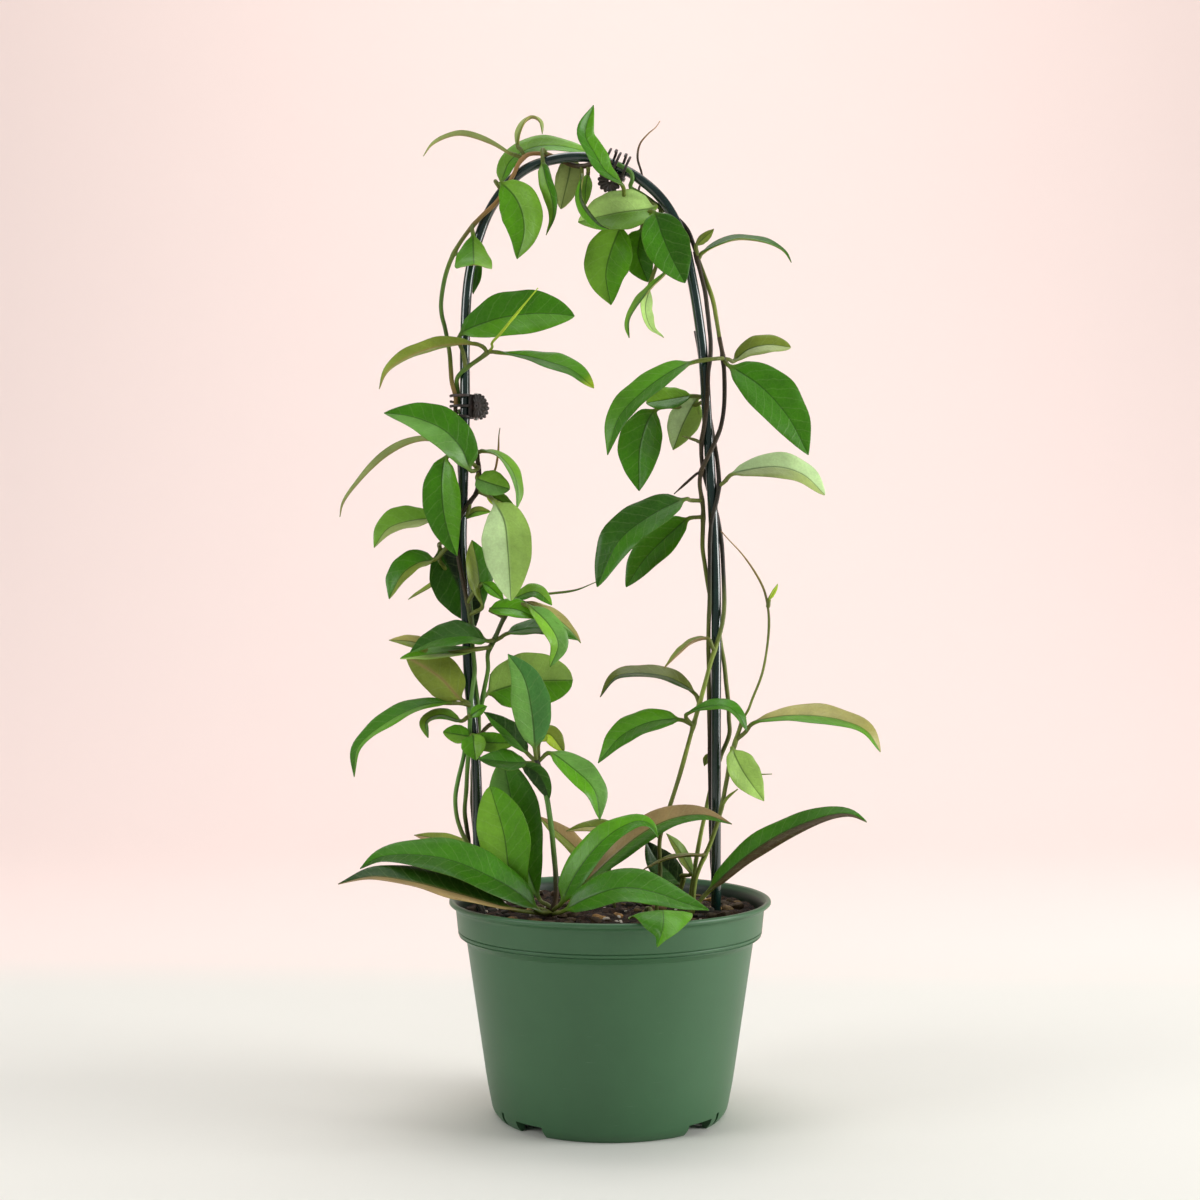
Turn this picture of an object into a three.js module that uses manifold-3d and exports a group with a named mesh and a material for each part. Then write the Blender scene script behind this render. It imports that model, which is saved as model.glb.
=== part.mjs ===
// Potted climbing hoya on a wire hoop, in millimetres, +Z up. The origin is on the pot's axis at the floor.
// The front is -Y. Leaves and stems are placed as an eye in front sees them, each with its depth.
import * as THREE from "three";
import { mergeVertices } from "three/addons/utils/BufferGeometryUtils.js";
import Module from "manifold-3d";

const wasm = await Module();
wasm.setup();

// Driving sizes
const POT = { rim: 80.2, height: 107.5, foot: 58.5, wall: 1.3, floor: 6, floorThick: 1.4, sides: 30 };
const BAND = { stepLow: 86.9, stepHigh: 91, inner: 71.5, outer: 75.8, top: 103.6, topRadius: 77 };
const NOTCH = { deep: 14, height: 5.5, wide: 17, turn: 3 };
const SLIT = { wide: 2.5, height: 7, at: [-28, 28, 152, 208] };
const DRAIN = { radius: 5, away: 34 };
const SOIL = { level: 101, gap: 0.35, play: 0.9, chips: 9, seed: 7, rootDepth: 31 };
const WIRE = { radius: 2.5, sides: 6, steps: 72 };
const STRAND = {
  radius: 1.1, gap: 0.35, sides: 5, step: 11.5, fewest: 4, twig: 0.6, twigSides: 4, twigStep: 6,
};
const LEAF = { petiole: 0.7, rib: 0.5, rim: 0.36, tip: 0.4, foldDeg: 14, peak: 0.86, blunt: 0.85 };
const EYE = { x: -5, z: 256, away: 965, sightX: 1, sightZ: -1 };
const CLIP = {
  mouth: 5, mouthShift: -1.6, band: 1.2, prong: 1.3, pitch: 5.2,
  hinge: 5.6, barrel: 1.6, pin: 0.7, play: 0.3, frontKnuckle: [3.5, 5.85], backKnuckle: [1.7, 3.2],
  grip: 6.1, gripThick: 1.5, gripTurnDeg: 41, gripAlong: 6.8, gripOut: 4.5, gripCut: 3.6,
  teeth: 10, tooth: 0.9,
};
const HUG = WIRE.radius + STRAND.gap + STRAND.radius;

const COLOUR = {
  pot: 0x3f6b48, soil: 0x2a1d14, wire: 0x0f2a24, clip: 0x2e2622, spring: 0x6b6a66,
  vine: 0x4a8a26, cutting: 0x3f7a1e,
};

const rad = THREE.MathUtils.degToRad;

// A point that shows at x, z against the hoop's plane and lies y behind it.
function seen([x, z, y = 0]) {
  const k = (EYE.away + y) / EYE.away;
  return new THREE.Vector3(
    EYE.x + (x + EYE.sightX - EYE.x) * k,
    y,
    EYE.z + (z + EYE.sightZ - EYE.z) * k,
  );
}

// A closed mesh as a solid for joins and cuts.
function solid(geometry) {
  const bare = geometry.index ? geometry.toNonIndexed() : geometry.clone();
  bare.deleteAttribute("normal");
  bare.deleteAttribute("uv");
  const merged = mergeVertices(bare, 1e-4);
  return new wasm.Manifold(
    new wasm.Mesh({
      numProp: 3,
      vertProperties: new Float32Array(merged.attributes.position.array),
      triVerts: new Uint32Array(merged.index.array),
    }),
  );
}

function joined(geometries) {
  return geometries.map(solid).reduce((whole, piece) => whole.add(piece));
}

const plant = new THREE.Group();
const SHORTEST_EDGE = 0.02;

function place(name, made, colour, roughness = 0.5, metalness = 0) {
  const mesh = made.simplify(SHORTEST_EDGE).getMesh();
  const geometry = new THREE.BufferGeometry();
  geometry.setAttribute("position", new THREE.BufferAttribute(new Float32Array(mesh.vertProperties), 3));
  geometry.setIndex(new THREE.BufferAttribute(new Uint32Array(mesh.triVerts), 1));
  geometry.computeVertexNormals();
  const material = new THREE.MeshStandardMaterial({ color: colour, roughness, metalness });
  const node = new THREE.Mesh(geometry, material);
  node.name = name;
  plant.add(node);
  return node;
}

function regular(sides, radius) {
  const shape = new THREE.Shape();
  for (let i = 0; i < sides; i++) {
    const a = (2 * Math.PI * i) / sides;
    shape[i ? "lineTo" : "moveTo"](radius * Math.cos(a), radius * Math.sin(a));
  }
  shape.closePath();
  return shape;
}

function smooth(points) {
  return new THREE.CatmullRomCurve3(points, false, "centripetal");
}

// A round stem or wire along a curve.
const stemSteps = (path, step) => Math.max(STRAND.fewest, Math.ceil(path.getLength() / step));

function stem(points, radius, sides, step) {
  const path = smooth(points);
  const along = { steps: stemSteps(path, step), extrudePath: path, bevelEnabled: false };
  return new THREE.ExtrudeGeometry(regular(sides, radius), along);
}

// Points along the middle of a stem's own straight pieces, for petioles to start from.
function stemLine(points, step) {
  const path = smooth(points);
  const corners = path.getSpacedPoints(stemSteps(path, step));
  const parts = Math.ceil(step);
  return corners.slice(1).flatMap((to, k) => (
    Array.from({ length: parts + 1 }, (_, i) => corners[k].clone().lerp(to, i / parts))
  ));
}

function upright(radius, low, high, x, y, sides = 10) {
  const cylinder = new THREE.CylinderGeometry(radius, radius, high - low, sides);
  cylinder.rotateX(Math.PI / 2);
  cylinder.translate(x, y, (low + high) / 2);
  return cylinder;
}

function block(size, centre, turnZ = 0) {
  const box = new THREE.BoxGeometry(...size);
  box.translate(...centre);
  box.rotateZ(turnZ);
  return box;
}

// The hoop: one wire up the left leg, over the top and down the right leg
const HOOP = [
  [-62.5, 53], [-65, 95], [-67, 135], [-67.5, 165], [-69, 190], [-71.5, 215], [-73, 250], [-75, 285],
  [-74.5, 310], [-73.5, 350], [-73.5, 385], [-72.5, 410], [-70.5, 424], [-66, 440], [-62, 450],
  [-57, 458.5],
  [-50, 467], [-41, 473.5], [-30, 477], [-20, 478.5], [-10, 478], [0, 475], [10, 470], [20, 462.5],
  [26, 456], [31, 448], [36, 436], [40.5, 415], [43, 400], [45.5, 380], [48, 340], [50.5, 300],
  [52, 260], [52, 190], [52, 120], [52, 53],
].map(seen);
const hoopPath = smooth(HOOP);
const HOOP_SAMPLES = 900;
const hoopLine = hoopPath.getSpacedPoints(HOOP_SAMPLES);
const hoopTop = hoopLine.reduce((best, p, i) => (p.z > hoopLine[best].z ? i : best), 0);
const hoopShoulder = hoopLine.findIndex((p) => p.z > 425);

// The hoop's place by leg and height, L or R, or across the arch by x, A.
function hoopIndex(where, value) {
  const [axis, goal] = where === "A" ? ["x", value + EYE.sightX] : ["z", value + EYE.sightZ];
  const arch = [hoopShoulder, HOOP_SAMPLES - hoopShoulder];
  const [first, last] = { L: [0, hoopTop], R: [hoopTop, HOOP_SAMPLES], A: arch }[where];
  let best = first;
  for (let i = first; i <= last; i++) {
    if (Math.abs(hoopLine[i][axis] - goal) < Math.abs(hoopLine[best][axis] - goal)) best = i;
  }
  return best;
}

// A point at an angle and distance round the wire: 0 inside the hoop, 90 behind, 180 outside, -90 in front.
function roundWire(index, degrees, radius) {
  const i = THREE.MathUtils.clamp(index, 1, HOOP_SAMPLES - 1);
  const low = Math.floor(i);
  const centre = hoopLine[low].clone().lerp(hoopLine[Math.min(low + 1, HOOP_SAMPLES)], i - low);
  const next = hoopLine[Math.min(low + 2, HOOP_SAMPLES)];
  const along = next.clone().sub(hoopLine[Math.max(low - 2, 0)]).normalize();
  const back = new THREE.Vector3(0, 1, 0);
  const inside = back.clone().cross(along).normalize();
  return centre
    .addScaledVector(inside, radius * Math.cos(rad(degrees)))
    .addScaledVector(back, radius * Math.sin(rad(degrees)));
}

// A strand that twines: stops of leg, height, angle and distance, with points between them.
const TWINE = { samples: 9, degrees: 40 };
function twine(stops) {
  const keys = stops.map(([where, value, angle, radius = HUG]) => [hoopIndex(where, value), angle, radius]);
  const points = [];
  keys.slice(1).forEach((to, k) => {
    const from = keys[k];
    const parts = Math.max(
      1,
      Math.round(Math.abs(to[0] - from[0]) / TWINE.samples),
      Math.round(Math.abs(to[1] - from[1]) / TWINE.degrees),
    );
    for (let i = k ? 1 : 0; i <= parts; i++) {
      const t = i / parts;
      points.push(roundWire(...from.map((v, j) => v + (to[j] - v) * t)));
    }
  });
  return points;
}

// A stem's foot in the soil, at x, y.
const holes = [];
function planted(x, y, radius = STRAND.radius) {
  holes.push([x, y, radius]);
  return [-SOIL.rootDepth, -6, 0].map((z) => new THREE.Vector3(x, y, SOIL.level + z));
}

// Where a blade has its cross sections, from base to tip, for wide, middling and small leaves
const BLADE_STOPS = [0, 0.13, 0.35, 0.6, 0.83, 1];
const MIDDLE_STOPS = [0, 0.18, 0.45, 0.78, 1];
const SMALL_STOPS = [0, 0.25, 0.6, 1];
const LONG_PETIOLE = 12;
const MIDDLING = 18;
const SMALL = 12.5;

// Half width along the blade, 0 to 1. A larger peak moves the widest place towards the tip, and a smaller
// blunt rounds both ends.
function bladeShape(t, peak, blunt) {
  return Math.sin(Math.PI * t ** peak) ** blunt;
}

const FACE = new THREE.Vector3(0, -1, 0.2).normalize();
const SKY = new THREE.Vector3(0, 0, 1);

// A closed skin over the leaf's sections, each a ring of rib top, right rim, rib underside and left rim.
function loft(sections) {
  const positions = sections.flat().flatMap((p) => p.toArray());
  const index = [];
  const ring = 6;
  for (let i = 0; i < sections.length - 1; i++) {
    for (let k = 0; k < ring; k++) {
      const a = i * ring + k;
      const b = i * ring + ((k + 1) % ring);
      const c = a + ring;
      const d = b + ring;
      if (k === 2 || k === 5) index.push(a, b, c, b, d, c);
      else index.push(a, b, d, a, d, c);
    }
  }
  const last = (sections.length - 1) * ring;
  for (let k = 1; k < ring - 1; k++) {
    index.push(0, k + 1, k);
    index.push(last, last + k, last + k + 1);
  }
  const geometry = new THREE.BufferGeometry();
  geometry.setAttribute("position", new THREE.Float32BufferAttribute(positions, 3));
  geometry.setIndex(index);
  return geometry;
}

// One leaf along its petiole's and its midrib's points. The blade folds up from the rib by fold's degrees,
// and roll's degrees turn its upper face round the rib.
function leaf(petiole, blade, width, roll, form = {}) {
  const { fold = LEAF.foldDeg, facing = FACE, peak = LEAF.peak, blunt = LEAF.blunt } = form;
  const path = smooth([...petiole, ...blade]);
  const petioleLength = petiole.reduce((sum, p, i) => sum + p.distanceTo(petiole[i + 1] ?? blade[0]), 0);
  const bladeStart = petioleLength / path.getLength();
  const fewerStops = width < SMALL ? SMALL_STOPS : MIDDLE_STOPS;
  const bladeStops = width < MIDDLING ? fewerStops : BLADE_STOPS;
  const petioleStops = petioleLength > LONG_PETIOLE ? [0, 0.5] : [0];
  const stops = [
    ...petioleStops.map((s) => [s * bladeStart, -1]),
    ...bladeStops.map((t) => [bladeStart + (1 - bladeStart) * t, t]),
  ];
  const sections = stops.map(([u, t]) => {
    const at = path.getPointAt(u);
    const along = path.getTangentAt(u);
    const face = facing.clone().addScaledVector(along, -facing.dot(along)).normalize();
    const side = along.clone().cross(face);
    const up = face.clone().applyAxisAngle(along, rad(roll));
    const across = side.clone().applyAxisAngle(along, rad(roll));
    const stalk = t <= 0;
    const least = t < 0.5 ? LEAF.petiole : LEAF.tip;
    const half = stalk ? LEAF.petiole : Math.max(least, (width / 2) * bladeShape(t, peak, blunt));
    const lift = stalk ? 0 : half * Math.sin(rad(fold));
    const out = stalk ? half : half * Math.cos(rad(fold));
    const rib = stalk ? LEAF.petiole : LEAF.rib;
    const rim = stalk ? LEAF.petiole / 2 : LEAF.rim;
    const point = (s, n) => at.clone().addScaledVector(across, s).addScaledVector(up, n);
    return [
      point(0, rib), point(out, lift + rim), point(out, lift - rim),
      point(0, -rib), point(-out, lift - rim), point(-out, lift + rim),
    ];
  });
  return loft(sections);
}

// The petiole's points: from the nearest point of the stems, round the wire and not through it.
const BESIDE_WIRE = { away: 14, samples: 60 };
function petioleFrom(root, base, lines) {
  const goal = seen(root);
  let start = lines[0][0];
  lines.flat().forEach((p) => {
    const nearer = Math.hypot(p.x - goal.x, p.z - goal.z) < Math.hypot(start.x - goal.x, start.z - goal.z);
    if (nearer) start = p;
  });
  const aroundWire = (p) => {
    let best = 0;
    hoopLine.forEach((q, i) => {
      if (q.distanceTo(p) < hoopLine[best].distanceTo(p)) best = i;
    });
    const off = p.clone().sub(hoopLine[best]);
    const inside = roundWire(best, 0, 1).sub(roundWire(best, 0, 0));
    return [best, THREE.MathUtils.radToDeg(Math.atan2(off.y, off.dot(inside))), off.length()];
  };
  const [i0, a0, r0] = aroundWire(start);
  const [i1, a1, r1] = aroundWire(base);
  const beside = Math.min(r0, r1) < BESIDE_WIRE.away && Math.abs(i0 - i1) < BESIDE_WIRE.samples;
  if (!beside) return [start, start.clone().lerp(base, 0.5)];
  const turn = ((a1 - a0 + 540) % 360) - 180;
  const middle = roundWire((i0 + i1) / 2, a0 + turn * 0.4, Math.max(r0, r0 + (r1 - r0) * 0.6));
  return [start, middle];
}

// A leafy stem: its strands, its side twigs and its leaves, joined in one solid.
function leafy(name, strands, leaves, twigs = [], radius = STRAND.radius, colour = COLOUR.vine) {
  const lines = strands.map((points) => stemLine(points, STRAND.step));
  const pieces = strands.map((points) => stem(points, radius, STRAND.sides, STRAND.step));
  const roots = [...lines];
  twigs.forEach(([root, points, thick = STRAND.twig]) => {
    const route = points.map(seen);
    const start = petioleFrom(root, route[0], lines);
    const whole = [...start, ...route];
    roots.push(stemLine(whole, STRAND.twigStep));
    pieces.push(stem(whole, thick, STRAND.twigSides, STRAND.twigStep));
  });
  leaves.forEach(([root, points, width, roll, form]) => {
    const blade = points.map(seen);
    pieces.push(leaf(petioleFrom(root, blade[0], roots), blade, width, roll, form));
  });
  place(name, joined(pieces), colour, 0.42);
}

// Each leaf: where its petiole starts, its midrib (x, z, y), its full width, its roll in degrees, its form.

// Left leg: the low vine, whose tip reaches across the hoop
leafy(
  "vine_left_low",
  [[
    ...planted(-62, -14),
    ...twine([
      ["L", 112, -100, 9], ["L", 124, -125, 6.5], ["L", 133, -150, 4.4], ["L", 140, -170, 7.5],
      ["L", 148, -179, 10.2], ["L", 158, -180, 11], ["L", 167, -185, 9.4], ["L", 178, -200, 6.9],
      ["L", 190, -240, 6.9], ["L", 200, -300, 6.9], ["L", 212, -350, 7.4], ["L", 222, -365, 10],
      ["L", 230, -370, 10.5],
    ]),
    ...[[-58.5, 238, -4], [-54, 248, -4], [-48, 257.5, -3]].map(seen),
  ]],
  [
    [[-49, 257], [[-49, 257, -3], [-38.5, 261, -4], [-30, 254.5, -5]], 11, -38, { blunt: 0.7 }],
    [[-54, 249], [[-61, 252, -7], [-50, 252.5, -9], [-37, 248, -11]], 13, -32, { blunt: 0.7 }],
    [[-49, 256], [[-45, 256, -4], [-33, 251, -5], [-22, 243, -6], [-15.5, 235.5, -7]], 13, -58],
    [[-49, 256], [[-42, 254, -10], [-32, 245, -13], [-27, 235, -13], [-31, 223.5, -12]], 14, -35],
    [[-58.5, 236], [[-53, 240, -2], [-35, 242.5, -1], [-17, 237, -1]], 16, -48],
    [[-59, 237], [[-62, 236.5, -9], [-72, 239, -13], [-88, 237, -15], [-101, 231, -16]], 22, 45],
    [
      [-60, 234],
      [[-66, 232.5, -8], [-79, 230.5, -9], [-92, 229.5, -10], [-106, 227.8, -10]],
      14, 52, { peak: 1.1, blunt: 0.7 },
    ],
    [[-60, 233], [[-86, 231, -6], [-100, 236, -7], [-111.5, 237, -8]], 9, 30],
    [[-67, 208], [[-62.5, 210, 6], [-43, 215.8, 9], [-19.5, 217, 10]], 30, -4, { peak: 1, blunt: 0.5 }],
  ],
  [[[-49, 257.5], [[-44, 258.5, -2], [-33, 260, -1], [-18, 262, 0], [-8, 266, 1]], 0.65]],
);

// Left leg: the middle vine, which reaches the low clip
leafy(
  "vine_left_middle",
  [[
    ...planted(-64, -6.5),
    ...twine([
      ["L", 117, -150, 6.5], ["L", 126, -175, 6], ["L", 135, -198, 5], ["L", 143, -200, 6],
      ["L", 152, -148, 7.2], ["L", 172, -140, 5.6], ["L", 188, -120, 4.6], ["L", 203, -95, 4.2],
      ["L", 222, -35, 4.2], ["L", 250, -60], ["L", 275, -110], ["L", 290, -140], ["L", 299, -95],
      ["L", 306, -40, 5], ["L", 312, -8, 7.4], ["L", 325, -5, 7.2], ["L", 335, 20, 5], ["L", 345, 95],
      ["L", 353, 140],
    ]),
  ]],
  [
    [
      [-67, 323],
      [
        [-70.5, 321.5, -8], [-75, 332, -11], [-83.5, 341.5, -14], [-93, 346.3, -15],
        [-103, 349.3, -16], [-114, 350.5, -16],
      ],
      23, 20,
    ],
    [
      [-67, 331],
      [
        [-76, 334, 7], [-95, 337.2, 6], [-112, 330, 5], [-128, 314.5, 4],
        [-134.6, 305, 3.5], [-136.2, 298.5, 3],
      ],
      12, 90,
    ],
    [[-69, 322], [[-82, 329, -5], [-85, 318, -6], [-84, 300, -7], [-81, 288, -7], [-77.5, 279, -7]], 20, 8],
    [
      [-67, 331],
      [[-65, 331.5, -3], [-58, 330, -4], [-50, 321.5, -5], [-47, 311, -5], [-47.5, 302.5, -5]],
      13, -60,
    ],
    [[-68, 321], [[-67.5, 318, -3], [-61, 315.3, -5], [-51, 312.5, -5]], 14, -8, { blunt: 0.6 }],
    [[-67, 312], [[-63, 310, -2], [-56, 306.5, -3], [-48.5, 303, -3]], 9, -20],
    [[-71, 305], [[-72.5, 298.5, -5], [-68, 301, -5], [-60.5, 301.2, -5]], 6, -20],
    [
      [-67, 311],
      [[-59, 306, -9], [-54, 297, -12], [-52, 281, -13], [-50.5, 256.5, -13]],
      25.5, 4, { blunt: 0.75 },
    ],
    [
      [-77, 291],
      [[-88, 297.2, -2], [-102, 296.2, -4], [-112, 292.5, -5], [-119, 283.2, -6]],
      20, 36, { fold: 22 },
    ],
    [
      [-77, 287],
      [[-88, 277.5, -3], [-96.5, 275.5, -4], [-104.5, 270, -6], [-111.5, 257.5, -7]],
      20, 40, { fold: 22 },
    ],
    [[-78, 288], [[-86, 283, 8], [-77, 264, 9], [-68, 244, 9]], 26, 0],
    [[-78, 288], [[-83, 270, 13], [-90, 264.5, 14], [-96, 260.8, 14], [-102, 257.3, 13]], 7, 60],
    [[-70, 250], [[-65, 253, -5], [-66, 262, -6], [-67.5, 275, -7], [-70, 287, -6]], 17, 38, { peak: 1.2 }],
    [[-71, 256], [[-65, 265, -6], [-54, 257, -8]], 8, -30],
    [[-71, 204], [[-75, 207, -6], [-86, 218.5, -2], [-103, 229, 4]], 22, 158, { blunt: 0.7 }],
    [
      [-71, 204],
      [[-80, 205.5, -5], [-95, 204, -7], [-112, 196, -9], [-127, 183, -11], [-129, 168.5, -12]],
      19, 55,
    ],
    [
      [-71.5, 199],
      [[-75, 196.5, -6], [-86, 199.5, -7], [-93, 196, -7], [-92, 188, -7]],
      12, 54, { blunt: 0.7 },
    ],
    [[-73, 200], [[-70.5, 199, -9], [-66.5, 202, -10], [-62.5, 204, -9]], 6, 0],
    [[-72, 188], [[-66, 190, -6], [-60, 194.5, -6], [-54, 192.5, -6]], 5, -60],
    [[-72, 187], [[-71, 188.5, -8], [-77, 189.7, -9], [-84.5, 191, -10]], 10, 10, { blunt: 0.65 }],
    [[-72, 186], [[-70, 186.5, -8], [-60, 185.6, -9], [-48.5, 185.5, -9]], 11, -14, { blunt: 0.65 }],
    [[-72, 187], [[-69.5, 189.5, -9], [-69, 184, -13], [-68, 176.8, -15]], 13, 5],
  ],
  [[[-67, 318], [[-59, 321, 3], [-57, 330, 3], [-56.5, 340, 3], [-56, 343, 3]], 0.6]],
);

// Left leg: the tall vine up to the low clip, then its leafy top over the arch
leafy(
  "vine_left_tall",
  [[
    ...planted(-62, 11.5),
    ...twine([
      ["L", 117, 95, 9], ["L", 127, 100, 7], ["L", 140, 110, 5], ["L", 156, 130, 4.4],
      ["L", 172, 118, 4.4], ["L", 188, 62, 4.1], ["L", 203, 35, 4.1], ["L", 214, 42, 4.1],
      ["L", 226, 58, 4.1], ["L", 240, 50, 4.1], ["L", 262, 60, 4.1], ["L", 300, 95], ["L", 330, 135],
      ["L", 345, 170, 4.2], ["L", 350, 183, 4.7], ["L", 353.5, 189, 4.8],
    ]),
  ]],
  [],
);
leafy(
  "vine_left_high",
  [[
    ...twine([
      ["L", 354.4, 150], ["L", 362, 160, 4], ["L", 366.5, 197, 4.2], ["L", 369.5, 245, 4.6],
      ["L", 372.5, 290, 5.6],
    ]),
    ...[[-65, 378.5, -6], [-62, 381, -7]].map(seen),
  ]],
  [
    [
      [-72, 371],
      [[-76.5, 388.5, -7], [-60, 396.8, -9], [-42, 400, -9], [-30, 400.2, -9], [-18.7, 399, -8]],
      27, -12, { peak: 1.08, blunt: 0.7 },
    ],
    [
      [-63, 381],
      [[-68, 385, -9], [-86, 384.5, -11], [-103, 378.5, -13], [-112.5, 371.5, -14], [-116.5, 362.5, -14]],
      15, 96,
    ],
    [
      [-62, 381],
      [[-57, 380.8, -8], [-42, 378.6, -9], [-30, 375.4, -10], [-20, 371.8, -10], [-9, 363, -10]],
      17, -42, { peak: 1.5, blunt: 0.7 },
    ],
  ],
  [[[-62, 381], [[-60, 385.5, -14], [-56, 390, -20], [-47, 401, -21], [-37, 413, -20]], 0.7]],
);
leafy(
  "vine_arch_left",
  [[
    ...twine([
      ["L", 354.6, 190, 4.6], ["L", 359, 189, 4.8], ["L", 366, 184, 6.5], ["L", 380, 180, 7.6],
      ["L", 392, 180, 10], ["L", 399, 180, 12], ["L", 405, 180, 12.6], ["L", 418, 180, 11.6],
      ["L", 428, 182, 9.6], ["L", 438, 200, 6.5], ["L", 447, 240, 4.4], ["L", 456, 290], ["L", 462, 290],
      ["A", -49, 260], ["A", -44, 215, 5], ["A", -39, 180, 6], ["A", -32, 150, 4.4], ["A", -25, 80, 4.5],
      ["A", -18, 25, 4.6], ["A", -11, -30, 4.6], ["A", -6.5, -80, 4], ["A", 0.2, -88, 3.9],
    ]),
  ]],
  [
    [
      [-44, 477],
      [[-50, 480, -3], [-61, 485.8, -4], [-77, 489.8, -6], [-89.5, 485, -8], [-94.5, 479, -9]],
      10, 80,
    ],
    [
      [-43, 478],
      [
        [-47.2, 484, 2], [-46.3, 491, 3], [-43.3, 496.5, 3.5], [-39.5, 498.3, 4],
        [-36, 496, 5], [-34.7, 490, 6],
      ],
      10, -64,
    ],
    [
      [-56, 461],
      [[-55.5, 465, 7], [-51, 476, 8], [-41, 482.5, 9], [-28, 484, 9.5], [-10, 480.5, 10]],
      17, -35, { blunt: 0.7 },
    ],
    [
      [-56, 461],
      [[-56.3, 466, -6], [-48.9, 459, -8], [-44.8, 450, -10], [-44, 440, -11], [-47.5, 427.5, -11]],
      21.5, 8,
    ],
    [
      [-33, 479],
      [[-34.5, 476, -7], [-32.8, 467, -8], [-29.8, 457, -8], [-29.6, 448, -8], [-33, 439.5, -8]],
      10, 46, { peak: 0.6 },
    ],
    [
      [-20, 478],
      [[-20.5, 479, 6], [-21.3, 471, 7], [-23.6, 461, 7.5], [-25.6, 452.5, 7.5]],
      13.5, -12, { peak: 0.8, blunt: 0.65 },
    ],
    [
      [-15, 473],
      [[-15, 469, -7], [-16, 458, -11], [-12, 450, -15], [-6, 444, -17], [-1.5, 442.5, -18]],
      10, 70,
    ],
    [[-12, 473], [[-12, 470, 3], [-13, 463, 4], [-13.5, 454, 4]], 8.5, 30],
    [
      [-68, 443],
      [[-69.5, 440, -7], [-69.4, 433, -9.5], [-69.2, 427, -14], [-69, 424.8, -21], [-69, 425, -28]],
      19, 0, { fold: -12, facing: SKY, peak: 1.15, blunt: 0.7 },
    ],
    [[-78, 430], [[-68, 428, 5], [-67.8, 420, 5], [-69.5, 410, 5]], 7, 20],
  ],
);

// Right leg: the low vine, which leans in from the soil and climbs on to the top of the leg
leafy(
  "vine_right_low",
  [[
    ...planted(23, -6),
    ...[
      [24, 120, -6], [24, 138, -7], [28, 151, -7], [34, 170, -7], [39.5, 190, -7], [44, 206, -7],
      [47, 217, -7],
      [50, 228, -6.5],
    ].map(seen),
    ...twine([
      ["R", 240, -105, 5], ["R", 255, -160, 4.2], ["R", 270, -180], ["R", 285, -200], ["R", 300, -240],
      ["R", 312, -290], ["R", 325, -340], ["R", 335, -380], ["R", 345, -425], ["R", 357, -455],
      ["R", 370, -475], ["R", 385, -530, 4.4], ["R", 410, -540, 5.2], ["R", 430, -540, 4.2],
    ]),
  ]],
  [
    [
      [40, 194],
      [[37, 199.5, -13], [46, 203.2, -14], [56, 204, -14], [63, 199.5, -14], [67.5, 191.3, -14]],
      13, -54, { peak: 1.25 },
    ],
    [[40, 194], [[35, 197, -9], [20, 196, -11], [5, 189, -13], [-7, 175.5, -14]], 20, 44],
    [
      [44, 205],
      [[42, 209.5, -5], [30, 217.5, -4], [14, 220.3, -4], [2, 218.5, -4], [-6, 208.5, -5]],
      18, 58, { peak: 0.75 },
    ],
    [[50, 232], [[48, 237.8, -8], [40, 236, -8], [33, 230, -8], [26, 223, -8]], 12, 72],
    [[42, 428], [[42, 434, -2], [51, 442.5, -3]], 6, 50],
    [
      [42, 426],
      [
        [44.5, 430, 0], [52, 434.5, 0], [63, 437.6, -1], [78, 435.6, -2],
        [86, 431.3, -2.5], [89.8, 425.8, -3],
      ],
      12, -66,
    ],
  ],
  [[[47, 336], [[43, 336.5, -7], [35, 339, -8]], 0.8]],
);

// Right leg: the side vine with its long loose tendril
leafy(
  "vine_right_side",
  [[
    ...planted(41, -8),
    ...[
      [42, 118, -8], [49, 135, -7], [54, 150, -6.5], [57, 165, -6], [60, 180, -5], [62, 187, -4],
      [66, 199, -4],
    ].map(seen),
  ]],
  [
    [[60, 184], [[60, 183, -8], [65, 172, -10], [76, 156.5, -11]], 17.5, -20, { peak: 0.8 }],
    [[47, 129], [[46, 129.5, -10], [38, 129.3, -12.5], [28, 127.8, -13], [15, 122, -12]], 7, 74],
    [
      [62, 187],
      [
        [70, 195.5, -6], [84, 200, -8], [100, 201, -10], [116, 198.5, -11],
        [127.5, 193, -12], [134.3, 181, -12],
      ],
      19, -50, { peak: 1.1, blunt: 0.7 },
    ],
    [[78, 253], [[78.5, 257, 1], [83, 265, 1]], 4, 60],
  ],
  [
    [
      [66, 198],
      [
        [70, 207, -3], [75, 220, -2], [77.5, 233, 0], [78.5, 245, 1], [78, 253, 1], [76, 262, 1],
        [72, 270, 1],
        [65, 280, 0], [58.5, 287, -2], [54.5, 291.5, -6],
      ],
      0.65,
    ],
    [[55, 154], [[58, 158.5, -7], [63, 162.5, -7]], 0.8],
    [[59, 174], [[66, 172.5, 0], [73, 170, 1], [80, 170, 1]], 0.6],
  ],
);

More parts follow.
